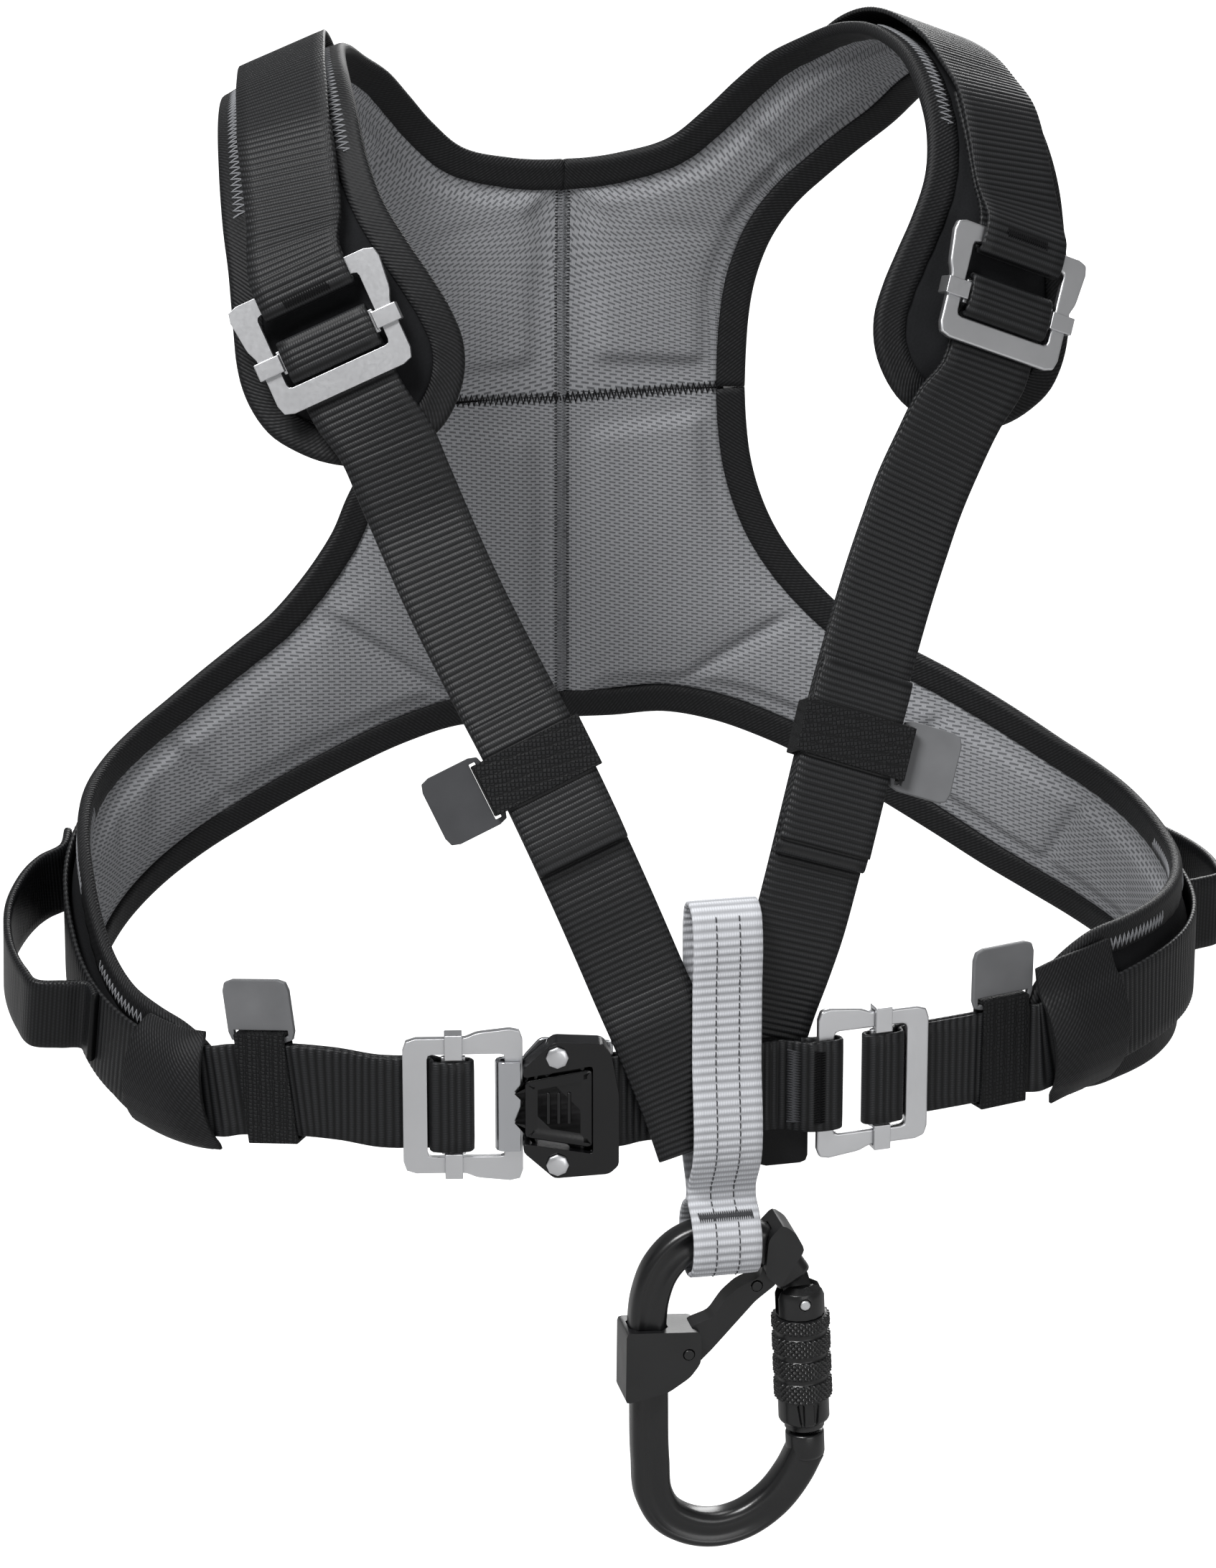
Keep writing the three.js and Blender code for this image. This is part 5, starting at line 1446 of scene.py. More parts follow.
@dataclass
class HardPart:
    """A metal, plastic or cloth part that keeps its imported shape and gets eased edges."""

    node: str
    finish: Finish
    slot: str
    ease: float = 0.4 * MM
    angle: float = 32.0
    segments: int = 3

    def build(self, shop: Workshop) -> bpy.types.Object:
        """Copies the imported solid, joins its flat faces and rounds its edges.

        Args:
            shop: the workshop.

        Returns:
            The finished piece.
        """
        bm = merged_copy(shop.nodes[self.node])
        bmesh.ops.dissolve_limit(bm, angle_limit=math.radians(1.0), verts=bm.verts, edges=bm.edges)
        sharp = [
            e for e in bm.edges
            if len(e.link_faces) == 2 and e.calc_face_angle(0.0) > math.radians(self.angle)
        ]
        bmesh.ops.bevel(
            bm, geom=sharp, offset=self.ease, offset_type="OFFSET", affect="EDGES",
            segments=self.segments, profile=0.5, material=-1, clamp_overlap=True,
        )
        bmesh.ops.remove_doubles(bm, verts=bm.verts, dist=WELD)
        obj = shop.piece(self.node + "_eased", bm, [self.finish], shop.body(self.node))
        normals = obj.modifiers.new("Normals", "WEIGHTED_NORMAL")
        normals.keep_sharp = True
        return shop.stand_in(obj, self.slot, self.node)


@dataclass
class ReleaseTab(HardPart):
    """The release tab of the front buckle, with a finger pocket and three ribs in it."""

    stretch: float = 0.5 * MM
    rim: float = 2.4 * MM
    wall: float = 0.9 * MM
    depth: float = 1.0 * MM
    cover_side: float = 1.2 * MM
    rib_gap: float = 3.2 * MM
    rib_shift: float = 0.4 * MM
    rib_size: tuple[float, float, float] = (1.1 * MM, 10.5 * MM, 1.1 * MM)
    rib_ease: float = 0.35 * MM

    def build(self, shop: Workshop) -> bpy.types.Object:
        """Shapes the tab up to the cover, sinks its pocket and adds the ribs.

        Args:
            shop: the workshop.

        Returns:
            The finished piece.
        """
        obj = super().build(shop)
        upper, lower = shop.centre("rivet_upper"), shop.centre("rivet_lower")
        bm = bmesh.new()
        bm.from_mesh(obj.data)
        front = max(bm.faces, key=lambda f: f.calc_area() * (1 if f.normal.y < -0.5 else 0))
        off = front.normal.copy()
        rise = (upper - lower).normalized()
        along = rise.cross(off)
        if along.x < 0:
            along.negate()
        far = max(v.co.dot(along) for v in bm.verts)
        for v in bm.verts:
            if far - v.co.dot(along) < self.cover_side:
                v.co += along * self.stretch
        for thickness, depth in ((self.rim, 0.0), (self.wall, -self.depth)):
            bmesh.ops.inset_region(
                bm, faces=[front], thickness=thickness, depth=depth, use_even_offset=True,
            )
        middle = front.calc_center_median()
        frame = Matrix((along, rise, off)).transposed().to_4x4()
        for k in (-1, 0, 1):
            place = Matrix.Translation(middle + along * (k * self.rib_gap - self.rib_shift)) @ frame
            size = Matrix.Diagonal((*self.rib_size, 1))
            rib = bmesh.ops.create_cube(bm, size=1.0, matrix=place @ size)
            edges = list({e for v in rib["verts"] for e in v.link_edges})
            bmesh.ops.bevel(
                bm, geom=edges, offset=self.rib_ease, offset_type="OFFSET", affect="EDGES",
                segments=2, profile=0.5, material=-1, clamp_overlap=True,
            )
        for face in bm.faces:
            face.smooth = True
        bm.to_mesh(obj.data)
        bm.free()
        return obj


# Camera, lights and floor


@dataclass
class Studio:
    """Camera, lights and floor of the photograph's view."""

    target: tuple[float, float, float] = (-0.01475, -0.05860, -0.2181)
    back: tuple[float, float, float] = (-0.1966, -0.9248, 0.3256)
    distance: float = 1.8
    lens: float = 128.74
    lit_point: tuple[float, float, float] = (0.0, -0.05, -0.2)
    floor_drop: float = 0.06
    surround: float = 0.3
    reach: float = 14.0

    def build(self, shop: Workshop) -> None:
        """Sets up the view.

        Args:
            shop: the workshop.
        """
        bpy.context.scene.view_settings.view_transform = "Standard"
        self.camera()
        self.lights()
        self.floor(shop)

    def camera(self) -> None:
        """Places the camera at the photograph's viewing angle."""
        data = bpy.data.cameras.new("camera")
        data.lens = self.lens
        data.sensor_fit = "AUTO"
        data.sensor_width = 36
        data.clip_end = 50
        camera = bpy.data.objects.new("camera", data)
        back = Vector(self.back).normalized()
        camera.location = Vector(self.target) + back * self.distance
        camera.rotation_euler = back.to_track_quat("Z", "Y").to_euler()
        bpy.context.scene.collection.objects.link(camera)
        bpy.context.scene.camera = camera

    def lights(self) -> None:
        """Adds four soft panels, and an even surround that is white to the camera and dimmer as a light."""
        world = bpy.data.worlds.new("surround")
        world.use_nodes = True
        background = world.node_tree.nodes["Background"]
        background.inputs["Color"].default_value = (1.0, 1.0, 1.0, 1.0)
        tree = world.node_tree
        seen = tree.nodes.new("ShaderNodeLightPath").outputs["Is Camera Ray"]
        strength = tree.nodes.new("ShaderNodeMath")
        strength.operation = "MAXIMUM"
        strength.inputs[1].default_value = self.surround
        tree.links.new(seen, strength.inputs[0])
        tree.links.new(strength.outputs[0], background.inputs["Strength"])
        bpy.context.scene.world = world
        panels = (
            ("key", (-1.0, -1.1, 1.7), 0.8, 66.0),
            ("fill", (0.6, -2.4, -0.3), 1.4, 20.0),
            ("top", (0.3, 0.7, 1.9), 1.0, 20.0),
            ("back", (0.9, 2.2, 0.6), 1.2, 30.0),
        )
        for name, place, size, power in panels:
            data = bpy.data.lights.new(name, "AREA")
            data.shape = "SQUARE"
            data.size = size
            data.energy = power
            light = bpy.data.objects.new(name, data)
            light.location = place
            aim = Vector(place) - Vector(self.lit_point)
            light.rotation_euler = aim.to_track_quat("Z", "Y").to_euler()
            bpy.context.scene.collection.objects.link(light)

    def floor(self, shop: Workshop) -> None:
        """Adds a plain pale floor below the harness.

        Args:
            shop: the workshop.
        """
        bm = bmesh.new()
        bmesh.ops.create_grid(bm, x_segments=1, y_segments=1, size=self.reach)
        level = shop.box[0][2] - self.floor_drop
        bmesh.ops.translate(bm, verts=bm.verts, vec=(0, 0, level))
        mesh = bpy.data.meshes.new("floor")
        bm.to_mesh(mesh)
        bm.free()
        mesh.materials.append(PALE_FLOOR.material())
        floor = bpy.data.objects.new("floor", mesh)
        bpy.context.scene.collection.objects.link(floor)
        floor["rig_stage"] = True


# Sub-assemblies


@dataclass
class PaddedBack:
    """The four padded quarters with their bindings and end sleeves."""

    pads: dict[str, Pad] = field(default_factory=dict)
    tape_reach: float = 1.5 * MM
    tape_depth: float = 1.5 * MM

    def build(self, shop: Workshop) -> None:
        """Builds pads, bindings and sleeves, and sews them.

        Args:
            shop: the workshop.
        """
        for side in Side:
            for kind in ("shoulder", "side"):
                node = f"{kind}_pad_{side.value}"
                binding = Binding(f"{kind}_binding_{side.value}")
                binding.build(shop)
                self.pads[node] = Pad(node, bend=binding.bend)
                self.pads[node].build(shop)
            EndSleeve(side).build(shop)
        self.sew_back(shop)
        self.sew_tape(shop)

    def sew_back(self, shop: Workshop) -> None:
        """Sews the four quarters together on the lining, down the middle and across.

        Args:
            shop: the workshop.
        """
        upright, level = [], []
        for kind in ("shoulder", "side"):
            pad = self.pads[f"{kind}_pad_right"]
            rows = [k for k in range(len(pad.grid)) if pad.on_seam(pad.grid[k, 0])]
            line = pad.grid[rows, 0] + pad.outs[rows, 0] * pad.edge
            upright.append(SewingLine(line, -pad.outs[rows, 0]))
        for side in Side:
            pad = self.pads[f"shoulder_pad_{side.value}"]
            line = pad.grid[0] + pad.outs[0] * pad.edge
            level.append(SewingLine(line, -pad.outs[0]))
        for k, line in enumerate(upright + level):
            self.seam_tape(shop, f"seam_tape_{k + 1}", line)
        pitch = 1.05 * MM
        seam = [s.zigzag(3.6 * MM, pitch) for s in upright]
        sew(shop, "back_seam_grey", seam, GREY_THREAD, 0.2 * MM)
        marks = []
        for line in upright:
            for aside in (-2.1 * MM, 2.1 * MM):
                marks += line.marks(aside, 0.9 * MM, pitch)
        sew(shop, "back_seam_marks", marks, BLACK_THREAD, 0.17 * MM)
        sew(shop, "back_seam_across", [s.zigzag(4.0 * MM, 1.9 * MM) for s in level], BLACK_THREAD, 0.3 * MM)

    def seam_tape(self, shop: Workshop, name: str, line: SewingLine) -> None:
        """Lays a narrow tape inside the pads behind a seam, so that no light shows through it.

        Args:
            shop: the workshop.
            name: the piece's name.
            line: the seam on the lining.
        """
        s, place, side, off = line.frames(4 * MM)
        ahead = unit(place[-1] - place[0])
        place[0] -= ahead * self.tape_reach
        place[-1] += ahead * self.tape_reach
        middle = place - off * self.tape_depth
        corners = np.array([(-4.0, -0.3), (4.0, -0.3), (4.0, 0.3), (-4.0, 0.3)]) * MM
        rings = np.stack([middle + side * a + off * b for a, b in corners], axis=1)
        girth = travelled(np.concatenate([corners, corners[:1]]))
        uv = np.stack(np.broadcast_arrays(s[:, None], girth[None, :]), axis=-1)
        obj = shop.piece(name, sweep(rings, uv), [BINDING], HARNESS)
        shop.stand_in(obj, "edge_binding")

    def sew_tape(self, shop: Workshop) -> None:
        """Sews grey zigzags on the tape, beside the shoulder webs and along the side arms.

        Args:
            shop: the workshop.
        """
        lines = []
        for side in Side:
            name = f"shoulder_binding_{side.value}"
            path = shop.paths[name]
            buckle = shop.centre(f"shoulder_buckle_{side.value}")
            for part in self.beside_web(path, buckle):
                lines.append(self.on_tape(shop, name, part, 1).zigzag(4.2 * MM, 2.3 * MM))
            name = f"side_binding_{side.value}"
            path = shop.paths[name]
            tip = float(path.at[np.argmin(path.centre[:, 1])])
            for start, end in ((tip + 30 * MM, tip + 62 * MM), (tip + 92 * MM, tip + 130 * MM)):
                part = np.arange(start, min(end, path.end), 2 * MM)
                for face in (-1, 1):
                    lines.append(self.on_tape(shop, name, part, face).zigzag(4.2 * MM, 2.3 * MM))
        sew(shop, "tape_zigzags", lines, GREY_THREAD, 0.32 * MM)

    def beside_web(self, path: Path, buckle: Vector) -> list[np.ndarray]:
        """Finds the two stretches of a shoulder binding beside the web, above the buckle.

        Args:
            path: the binding's path.
            buckle: the middle of the shoulder buckle.

        Returns:
            The distances along the binding, for each stretch.
        """
        s = np.arange(0.0, path.end, 2 * MM)
        centre = path.frames(s)[0]
        rise = centre[:, 2] - buckle.z
        ahead = (centre[:, 1] < 0.015) & (rise > 24 * MM)
        chosen = np.flatnonzero(ahead)
        groups = [g for g in np.split(chosen, np.flatnonzero(np.diff(chosen) > 3) + 1) if len(g) > 4]
        groups.sort(key=lambda g: abs(centre[g, 0]).mean())
        out = []
        for group, (low, high) in zip(groups, ((46 * MM, 84 * MM), (27 * MM, 68 * MM))):
            out.append(s[[k for k in group if low < rise[k] < high]])
        return out

    def on_tape(self, shop: Workshop, name: str, s: np.ndarray, face: int) -> SewingLine:
        """Marks a sewing line on one face of a binding, near its inner edge.

        Args:
            shop: the workshop.
            name: the binding.
            s: the distances along it.
            face: 1 for the outer face and -1 for the inner one.

        Returns:
            The sewing line.
        """
        path = shop.paths[name]
        centre, across, out = path.frames(s)
        inward = -Binding(name).free_side(shop, path)
        line = centre + across * inward * 1.6 * MM + out * face * path.half_thick
        return SewingLine(line, out * face)


class Straps:
    """Webbing of the shoulders, the chest band and the gear loops."""

    def build(self, shop: Workshop) -> None:
        """Lays every band.

        Args:
            shop: the workshop.
        """
        plan = []
        for side in Side:
            plan += [
                Band(f"shoulder_web_{side.value}", BLACK_WEBBING, "black_webbing"),
                Band(f"shoulder_strap_{side.value}", BLACK_WEBBING, "black_webbing"),
                Band(f"chest_strap_{side.value}", BAND_WEBBING, "black_webbing", pitch=2.45 * MM),
                Band(
                    f"gear_loop_{side.value}", GEAR_CLOTH, "gear_plastic",
                    pitch=1.2 * MM, rib=0.05 * MM, step=0.8 * MM,
                ),
            ]
        plan.append(Band("centre_web", BAND_WEBBING, "black_webbing", pitch=2.45 * MM))
        for band in plan:
            band.build(shop, shop.path(band.node))
        reader = RingReader(shop.nodes["attachment_loop"], 4)
        path = Path(reader.walk(reader.closed_start()), closed=True)
        shop.paths["attachment_loop"] = path
        loop = Band("attachment_loop", GREY_WEBBING, "grey_webbing", pitch=2.6 * MM, rib=0.36 * MM)
        loop.build(shop, path, loop=True)


class Hardware:
    """Buckles, sliders, keepers, tabs, the front buckle and the label."""

    def build(self, shop: Workshop) -> None:
        """Eases the edges of every hard part.

        Args:
            shop: the workshop.
        """
        parts = [
            HardPart("hook_plate", POLISHED_STEEL, "hook_steel", 0.35 * MM),
            HardPart("buckle_cover", GLOSS_BLACK, "cover_plastic", 0.9 * MM),
            ReleaseTab("release_tab", GLOSS_BLACK, "cover_plastic", 0.6 * MM),
            HardPart("rivet_upper", SATIN_STEEL, "hook_steel", 0.3 * MM),
            HardPart("rivet_lower", SATIN_STEEL, "hook_steel", 0.3 * MM),
            HardPart("label_tag", LABEL_CLOTH, "label_cloth", 0.25 * MM),
        ]
        for side in Side:
            for place in ("shoulder", "chest"):
                tab = TAB_DARK if (place, side) == ("shoulder", Side.LEFT) else TAB_GREY
                parts += [
                    HardPart(f"{place}_buckle_{side.value}", SATIN_STEEL, "buckle_steel", 0.7 * MM),
                    HardPart(f"{place}_slider_{side.value}", SATIN_STEEL, "buckle_steel", 0.4 * MM),
                    HardPart(f"{place}_{side.value}_keeper", ELASTIC, "elastic_band", 0.4 * MM),
                    HardPart(f"{place}_{side.value}_tab", tab, "tab_plastic", 0.5 * MM),
                ]
        for part in parts:
            part.build(shop)


@dataclass
class Carabiner:
    """The locking carabiner: grooved rod, gate, knurled locking sleeve and captive bar."""

    middle: Vector = field(default_factory=lambda: Vector((5.2, -149.625, -388.454)) * MM)
    half_width: float = 26 * MM
    half_length: float = 51 * MM
    rod: float = 12 * MM
    rod_depth: float = 10 * MM
    rod_rings: int = 170
    rod_columns: int = 40
    squareness: float = 3.4
    groove_aside: float = 0.5 * MM
    groove_half: float = 3.0 * MM
    groove_depth: float = 1.5 * MM
    pivot_share: tuple[float, float] = (0.867, 0.53)
    foot_share: tuple[float, float] = (0.962, -0.51)
    hinge_share: tuple[float, float] = (0.77, 0.68)
    nose_top: float = -46.43 * MM
    nose: tuple[tuple[float, float], ...] = (
        (0.0, -9.0), (5.2, -9.0), (6.0, -8.4), (6.2, -7.4),
        (6.2, -0.7), (6.0, -0.2), (5.5, 0.0), (0.0, 0.0),
    )
    sleeve_top: float = -5.63 * MM
    sleeve_bottom: float = -45.03 * MM
    knurls: tuple[tuple[float, float], ...] = (
        (-34.0, -27.8), (-25.9, -19.9), (-18.0, -12.2), (-10.2, -5.9),
    )
    diamonds: int = 30
    diamond_height: float = 2.1
    knurl_depth: float = 0.8 * MM
    notch_depth: float = 1.3 * MM

    def line(self) -> np.ndarray:
        """Draws the middle line of the rod from the nose round to the hinge.

        Returns:
            The line's points.
        """
        shares = (
            (0.97, -0.5), (0.81, -0.665), (0.53, -0.845), (0.15, -0.965), (-0.23, -0.995), (-0.53, -0.957),
            (-0.79, -0.868), (-0.945, -0.72), (-0.99, -0.48), (-1.01, 0.0), (-1.035, 0.43), (-0.995, 0.62),
            (-0.865, 0.8), (-0.62, 0.932), (-0.24, 0.993), (0.16, 0.972), (0.52, 0.86), self.hinge_share,
        )
        return np.array([self.at(*pair)[:] for pair in shares])

    def at(self, out: float, up: float) -> Vector:
        """Returns the point at those shares of the half width and half length."""
        return self.middle + Vector((out * self.half_width, 0.0, up * self.half_length))

    def gate_frame(self) -> Matrix:
        """Works out the place of the gate's parts.

        Returns:
            A place at the pivot, with z up along the gate and -y to the front.
        """
        up = (self.at(*self.pivot_share) - self.at(*self.foot_share)).normalized()
        back = Vector((0, 1, 0))
        turn = Matrix((back.cross(up), back, up)).transposed().to_4x4()
        return Matrix.Translation(self.at(*self.pivot_share)) @ turn

    def build(self, shop: Workshop) -> None:
        """Builds the carabiner's parts.

        Args:
            shop: the workshop.
        """
        self.frame(shop)
        self.sleeve(shop)
        for part in (
            HardPart("carabiner_gate", BLACK_ALLOY, "black_alloy", 0.5 * MM, angle=28.0),
            HardPart("gate_rivet", SATIN_STEEL, "hook_steel", 0.5 * MM),
            HardPart("captive_bar", BLACK_POLYMER, "black_polymer", 0.8 * MM),
            HardPart("captive_pin_lower", BLACK_ALLOY, "black_alloy", 0.3 * MM),
            HardPart("captive_pin_upper", BLACK_ALLOY, "black_alloy", 0.3 * MM),
        ):
            part.build(shop)

    def frame(self, shop: Workshop) -> None:
        """Sweeps the grooved rod, and adds its nose and the tongue of the hinge.

        Args:
            shop: the workshop.
        """
        line = self.line()
        at = travelled(line)
        s = np.linspace(0.0, at[-1], self.rod_rings)
        place = smooth_at(line, at, s)
        ahead = unit(np.gradient(place, s, axis=0))
        depth = np.array([0.0, -1.0, 0.0])
        outward = unit(np.cross(depth, ahead))
        halfway = self.rod_rings // 2
        if np.dot(outward[halfway], place[halfway] - np.array(self.middle)) < 0:
            outward = -outward
        turn = np.linspace(0, 2 * math.pi, self.rod_columns + 1)[:-1]
        round_to = 2 / self.squareness
        a = self.rod / 2 * np.sign(np.cos(turn)) * np.abs(np.cos(turn)) ** round_to
        b = self.rod_depth / 2 * np.sign(np.sin(turn)) * np.abs(np.sin(turn)) ** round_to
        flat = np.abs(b) > self.rod_depth * 0.38
        sunk = ease(1.25 - np.abs(a - self.groove_aside) / self.groove_half) * flat
        fade = ease((s - 16 * MM) / (18 * MM)) * ease((at[-1] - 20 * MM - s) / (20 * MM))
        b = b[None, :] - np.sign(b)[None, :] * sunk[None, :] * fade[:, None] * self.groove_depth
        points = (
            place[:, None] + outward[:, None] * a[None, :, None] + depth[None, None] * b[..., None]
        )
        around = np.arange(self.rod_columns + 1) * MM
        uv = np.stack(np.broadcast_arrays(s[:, None], around[None, :]), axis=-1)
        bm = sweep(points, uv)
        self.turned(bm, [(r * MM, self.nose_top + h * MM) for r, h in self.nose], 64)
        self.tongue(bm)
        obj = shop.piece("carabiner_rod", bm, [BLACK_ALLOY], shop.body("carabiner_frame"))
        shop.stand_in(obj, "black_alloy", "carabiner_frame")

    def tongue(self, bm: bmesh.types.BMesh) -> None:
        """Adds the flat tongue that the gate turns on.

        Args:
            bm: the mesh, changed in place.
        """
        pivot, end = self.at(*self.pivot_share), self.at(*self.hinge_share)
        hull = []
        for depth in (-1.9 * MM, 1.9 * MM):
            circle = bmesh.ops.create_circle(bm, cap_ends=False, segments=24, radius=4.3 * MM)["verts"]
            bmesh.ops.rotate(bm, verts=circle, cent=(0, 0, 0), matrix=Matrix.Rotation(math.pi / 2, 3, "X"))
            bmesh.ops.translate(bm, verts=circle, vec=pivot + Vector((0, depth, 0)))
            hull += circle
            for x, z in ((4.6, 1.0), (-4.2, -0.5)):
                hull.append(bm.verts.new(end + Vector((x * MM, depth, z * MM))))
        made = bmesh.ops.convex_hull(bm, input=hull)
        loose = [v for v in made["geom_interior"] if isinstance(v, bmesh.types.BMVert)]
        bmesh.ops.delete(bm, geom=loose, context="VERTS")

    def turned(self, bm: bmesh.types.BMesh, profile: Sequence[tuple[float, float]], steps: int) -> None:
        """Spins a profile about the gate's line.

        Args:
            bm: the mesh to add to.
            profile: radius and height of each point, from the pivot.
            steps: the number of steps round.
        """
        known = set(bm.verts)
        verts = [bm.verts.new((radius, 0.0, height)) for radius, height in profile]
        edges = [bm.edges.new(pair) for pair in zip(verts[:-1], verts[1:])]
        bmesh.ops.spin(
            bm, geom=verts + edges, cent=(0, 0, 0), axis=(0, 0, 1), dvec=(0, 0, 0),
            angle=2 * math.pi, steps=steps, use_merge=True, use_normal_flip=False, use_duplicate=False,
        )
        fresh = [v for v in bm.verts if v not in known]
        bmesh.ops.remove_doubles(bm, verts=fresh, dist=WELD)
        fresh = [v for v in bm.verts if v not in known]
        self.relief(fresh)
        bmesh.ops.transform(bm, verts=fresh, matrix=self.gate_frame())
        bmesh.ops.recalc_face_normals(bm, faces=list({f for v in fresh for f in v.link_faces}))

    def relief(self, verts: Sequence[bmesh.types.BMVert]) -> None:
        """Cuts the diamond knurls and the two notches of the skirt, where points reach that far out.

        Args:
            verts: the points, placed about the gate's line.
        """
        for v in verts:
            radius = math.hypot(v.co.x, v.co.y)
            height = v.co.z / MM
            turn = math.atan2(v.co.y, v.co.x)
            push = 0.0
            for low, high in self.knurls:
                if low + 0.1 < height < high - 0.1 and radius > 8.5 * MM:
                    u, w = turn / (2 * math.pi) * self.diamonds, height / self.diamond_height
                    ridge = min(abs((u + w) % 1.0 - 0.5), abs((u - w) % 1.0 - 0.5)) * 2
                    push = -self.knurl_depth * (1 - min(1.0, ridge * 1.5))
            front = abs(math.degrees(turn) + 90)
            if radius > 7.5 * MM and -42.6 < height < -34.6:
                share = (height + 34.6) / -8.0
                middle, half = 20 - 4 * share, 7.0 - 3.5 * share
                push = -self.notch_depth * float(ease(1.6 - abs(front - middle) / half))
            if push:
                v.co.xy *= (radius + push) / radius

    def sleeve(self, shop: Workshop) -> None:
        """Turns the locking sleeve with its knurled bands, necks, skirt and lip.

        Args:
            shop: the workshop.
        """
        bottom, top = self.sleeve_bottom / MM, self.sleeve_top / MM
        rows = [(5.35, bottom), (6.0, bottom), (6.35, bottom + 0.3), (6.45, bottom + 2.1)]
        rows += [(7.4, bottom + 2.5), (7.9, bottom + 3.0)]
        rows += [(8.15, h) for h in np.arange(bottom + 3.6, self.knurls[0][0] - 0.4, 0.5)]
        for k, (low, high) in enumerate(self.knurls):
            rows += [(8.2, low - 0.05), (8.8, low), (9.3, low + 0.2)]
            rows += [(9.4, h) for h in np.arange(low + 0.45, high - 0.4, 0.26)]
            rows += [(9.3, high - 0.2), (8.8, high), (8.2, high + 0.05)]
            if k + 1 < len(self.knurls):
                rows += [(8.1, high + 0.4), (8.1, self.knurls[k + 1][0] - 0.4)]
        rows += [(8.0, top - 0.1), (7.7, top), (5.35, top), (5.35, bottom)]
        bm = bmesh.new()
        self.turned(bm, [(r * MM, h * MM) for r, h in rows], 228)
        obj = shop.piece("locking_sleeve_knurled", bm, [BLACK_ALLOY], shop.body("locking_sleeve"))
        shop.stand_in(obj, "black_alloy", "locking_sleeve")


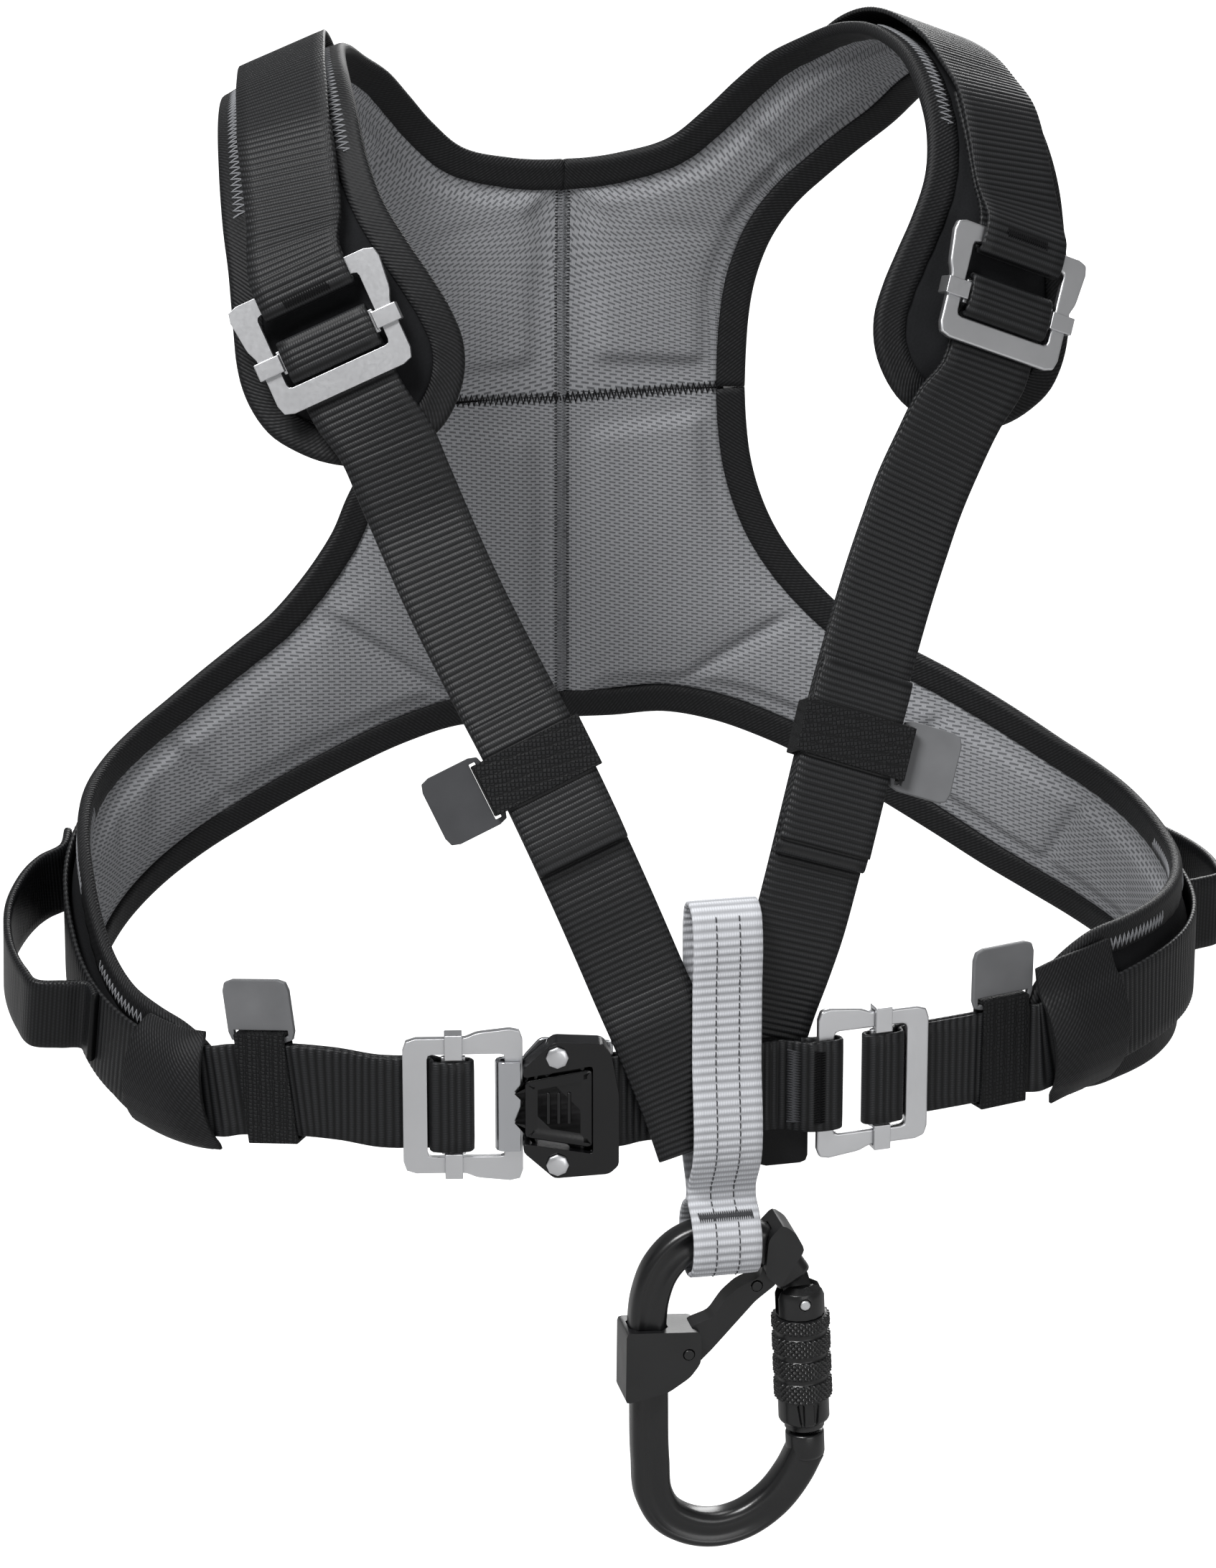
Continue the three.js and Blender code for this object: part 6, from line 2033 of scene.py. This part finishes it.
@dataclass
class Sewing:
    """Threads on the webbing: bar tacks, lines on the grey loop and rows beside the buckles."""

    lift: float = 0.12 * MM
    points: int = 12

    def build(self, shop: Workshop) -> None:
        """Sews the webbing.

        Args:
            shop: the workshop.
        """
        self.loop_lines(shop)
        self.shoulder_tacks(shop)
        self.band_tacks(shop)

    def front(self, path: Path, near: Vector) -> float:
        """Finds a place on the ply of a band that faces the viewer.

        Args:
            path: the band's path.
            near: the point to be near.

        Returns:
            The distance along the band.
        """
        close = np.linalg.norm((path.centre - np.array(near))[:, [0, 2]], axis=1)
        chosen = np.flatnonzero(close < close.min() + 5 * MM)
        return float(path.at[chosen[np.argmin(path.centre[chosen, 1])]])

    def on_band(self, path: Path, s: np.ndarray, aside: float = 0.0) -> SewingLine:
        """Marks a sewing line along the front face of a band.

        Args:
            path: the band's path.
            s: the distances along it.
            aside: how far the line lies beside the band's middle.

        Returns:
            The sewing line.
        """
        centre, across, out = path.frames(s)
        out = out * (-1 if out[:, 1].mean() > 0 else 1)
        return SewingLine(centre + across * aside + out * (path.half_thick + self.lift), out)

    def across_band(self, path: Path, s: float, half: float) -> SewingLine:
        """Marks a sewing line across the front face of a band.

        Args:
            path: the band's path.
            s: the distance along it.
            half: half the line's length.

        Returns:
            The sewing line.
        """
        centre, across, out = path.frames(np.array([s]))
        out = out * (-1 if out[0, 1] > 0 else 1)
        places = np.linspace(-half, half, self.points)[:, None]
        line = centre + across * places + out * (path.half_thick + self.lift)
        return SewingLine(line, np.repeat(out, self.points, axis=0))

    def loop_lines(self, shop: Workshop) -> None:
        """Sews two dark lines down the grey loop and the dark bar tack below the band.

        Args:
            shop: the workshop.
        """
        path = shop.paths["attachment_loop"]
        s = np.arange(path.start, path.end, 1.5 * MM)
        centre = path.frames(s)[0]
        high, low = sorted((int(np.argmax(centre[:, 2])), int(np.argmin(centre[:, 2]))))
        arcs = [np.arange(high, low), np.r_[np.arange(low, len(s)), np.arange(high)]]
        front = min(arcs, key=lambda arc: centre[arc, 1].mean())[3:-2]
        lines = []
        for part in np.split(front, np.flatnonzero(np.diff(front) < 0) + 1):
            for aside in (-path.half_width / 3, path.half_width / 3):
                lines += self.on_band(path, s[part], aside).running(2.6 * MM)
        sew(shop, "loop_lines", lines, DARK_THREAD, 0.2 * MM, slot="grey_webbing")
        tack = self.front(path, Vector((2 * MM, -0.16, -0.3279)))
        zigzag = self.across_band(path, tack, path.half_width * 0.78).zigzag(3.0 * MM, 0.7 * MM)
        sew(shop, "loop_tack", [zigzag], DARK_THREAD, 0.28 * MM, slot="grey_webbing")

    def shoulder_tacks(self, shop: Workshop) -> None:
        """Sews a black bar tack on each shoulder web above its buckle.

        Args:
            shop: the workshop.
        """
        lines = []
        for side in Side:
            path = shop.path(f"shoulder_web_{side.value}")
            buckle = shop.centre(f"shoulder_buckle_{side.value}")
            near = self.front(path, buckle + Vector((0, -0.01, 0.021)))
            lines.append(self.across_band(path, near, 7.5 * MM).zigzag(3.0 * MM, 0.8 * MM))
        sew(shop, "shoulder_tacks", lines, BLACK_THREAD, 0.28 * MM, slot="black_webbing")

    def band_tacks(self, shop: Workshop) -> None:
        """Sews the grey and the black column on the centre web beside the right buckle.

        Args:
            shop: the workshop.
        """
        path = shop.path("centre_web")
        height = shop.centre("centre_web").z
        for name, x, finish, width in (
            ("band_tack_grey", 20.5, DARK_THREAD, 4.6),
            ("band_tack_black", 27.0, BLACK_THREAD, 3.4),
        ):
            s = self.front(path, Vector((x * MM, 0.0, height)))
            line = self.across_band(path, s, path.half_width * 0.8)
            sew(shop, name, [line.zigzag(width * MM, 0.85 * MM)], finish, 0.26 * MM, slot="black_webbing")


def main() -> None:
    """Builds the harness in order and reports each piece."""
    logging.basicConfig(level=logging.INFO, format="%(name)s %(message)s")
    shop = Workshop()
    Studio().build(shop)
    for assembly in (PaddedBack(), Straps(), Hardware(), Carabiner(), Sewing()):
        assembly.build(shop)
        log.info("%s done", type(assembly).__name__)
    bpy.context.view_layer.update()


if __name__ == "__main__":
    main()
